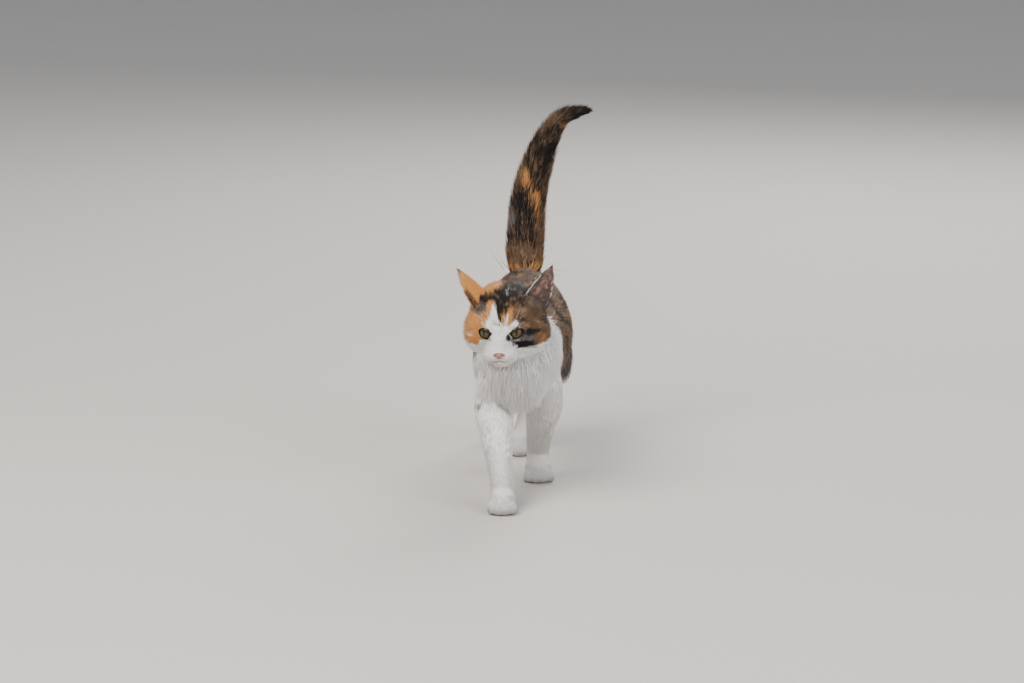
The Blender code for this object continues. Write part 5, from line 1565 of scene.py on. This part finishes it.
def make_lights(studio):
    """A soft sky and three soft lights that point at the cat."""
    world = bpy.data.worlds.new("studio_air")
    world.use_nodes = True
    air = world.node_tree.nodes["Background"].inputs
    air["Color"].default_value = SKY
    air["Strength"].default_value = SKY_STRENGTH
    bpy.context.scene.world = world
    aim = (np.array(AIM) + SHIFT) * CM
    for name, (place, size, share, color) in LIGHTS.items():
        data = bpy.data.lights.new(name, "AREA")
        data.energy = studio.strength * share
        data.size = size
        data.color = color
        lamp = placed(name, data)
        lamp.location = place
        lamp.rotation_euler = (Vector(aim) - Vector(place)).to_track_quat("-Z", "Y").to_euler()


def make_camera():
    """The camera that sees the cat as the photo does."""
    data = bpy.data.cameras.new("camera")
    data.lens = CAMERA_LENS
    data.sensor_width = CAMERA_SENSOR
    data.clip_start = 0.05
    camera = placed("camera", data)
    camera.location = tuple((np.array(CAMERA_PLACE) + SHIFT) * CM)
    camera.rotation_euler = (math.radians(CAMERA_PITCH), 0.0, 0.0)
    bpy.context.scene.camera = camera


# ---- the add-on

class CAT_OT_skin(bpy.types.Operator):
    """Make the skin that stands for all the flesh"""
    bl_idname = "cat.skin"
    bl_label = "Skin"

    def execute(self, context):
        make_skin(context.scene.cat_coat)
        return {"FINISHED"}


class CAT_OT_coat(bpy.types.Operator):
    """Make the coat in tufts over the skin"""
    bl_idname = "cat.coat"
    bl_label = "Coat"

    def execute(self, context):
        make_coat(context.scene.cat_coat)
        return {"FINISHED"}


class CAT_OT_eyes(bpy.types.Operator):
    """Make both eyes with their lids"""
    bl_idname = "cat.eyes"
    bl_label = "Eyes"

    def execute(self, context):
        for side in SIDES:
            make_eye(side, context.scene.cat_eyes)
            make_lids(side, context.scene.cat_eyes, context.scene.cat_coat)
        return {"FINISHED"}


class CAT_OT_nose(bpy.types.Operator):
    """Make the bare nose and the line of the mouth"""
    bl_idname = "cat.nose"
    bl_label = "Nose and mouth"

    def execute(self, context):
        make_nose()
        make_mouth(context.scene.cat_coat)
        return {"FINISHED"}


class CAT_OT_whiskers(bpy.types.Operator):
    """Make the whiskers, brow hairs and stray guard hairs"""
    bl_idname = "cat.whiskers"
    bl_label = "Whiskers"

    def execute(self, context):
        make_whiskers(context.scene.cat_coat)
        return {"FINISHED"}


class CAT_OT_stage(bpy.types.Operator):
    """Make the floor, the light and the camera"""
    bl_idname = "cat.stage"
    bl_label = "Stage"

    def execute(self, context):
        make_floor(context.scene.cat_studio)
        make_lights(context.scene.cat_studio)
        make_camera()
        return {"FINISHED"}


class CAT_PT_panel(bpy.types.Panel):
    """The cat's settings and its pieces"""
    bl_idname = "CAT_PT_panel"
    bl_label = "Calico cat"
    bl_space_type = "VIEW_3D"
    bl_region_type = "UI"
    bl_category = "Cat"

    def draw(self, context):
        for group in (context.scene.cat_coat, context.scene.cat_eyes, context.scene.cat_studio):
            box = self.layout.box()
            for name in group.__annotations__:
                box.prop(group, name)
        for name in PIECES:
            self.layout.operator("cat." + name)


PIECES = ("skin", "coat", "eyes", "nose", "whiskers", "stage")
CLASSES = (CoatColors, EyeColors, Studio, CAT_OT_skin, CAT_OT_coat, CAT_OT_eyes, CAT_OT_nose,
           CAT_OT_whiskers, CAT_OT_stage, CAT_PT_panel)


def register():
    for kind in CLASSES:
        bpy.utils.register_class(kind)
    bpy.types.Scene.cat_coat = bpy.props.PointerProperty(type=CoatColors)
    bpy.types.Scene.cat_eyes = bpy.props.PointerProperty(type=EyeColors)
    bpy.types.Scene.cat_studio = bpy.props.PointerProperty(type=Studio)


def unregister():
    for name in ("cat_coat", "cat_eyes", "cat_studio"):
        delattr(bpy.types.Scene, name)
    for kind in reversed(CLASSES):
        bpy.utils.unregister_class(kind)


def main():
    """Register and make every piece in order."""
    register()
    for name in PIECES:
        getattr(bpy.ops.cat, name)()


if __name__ == "__main__":
    main()
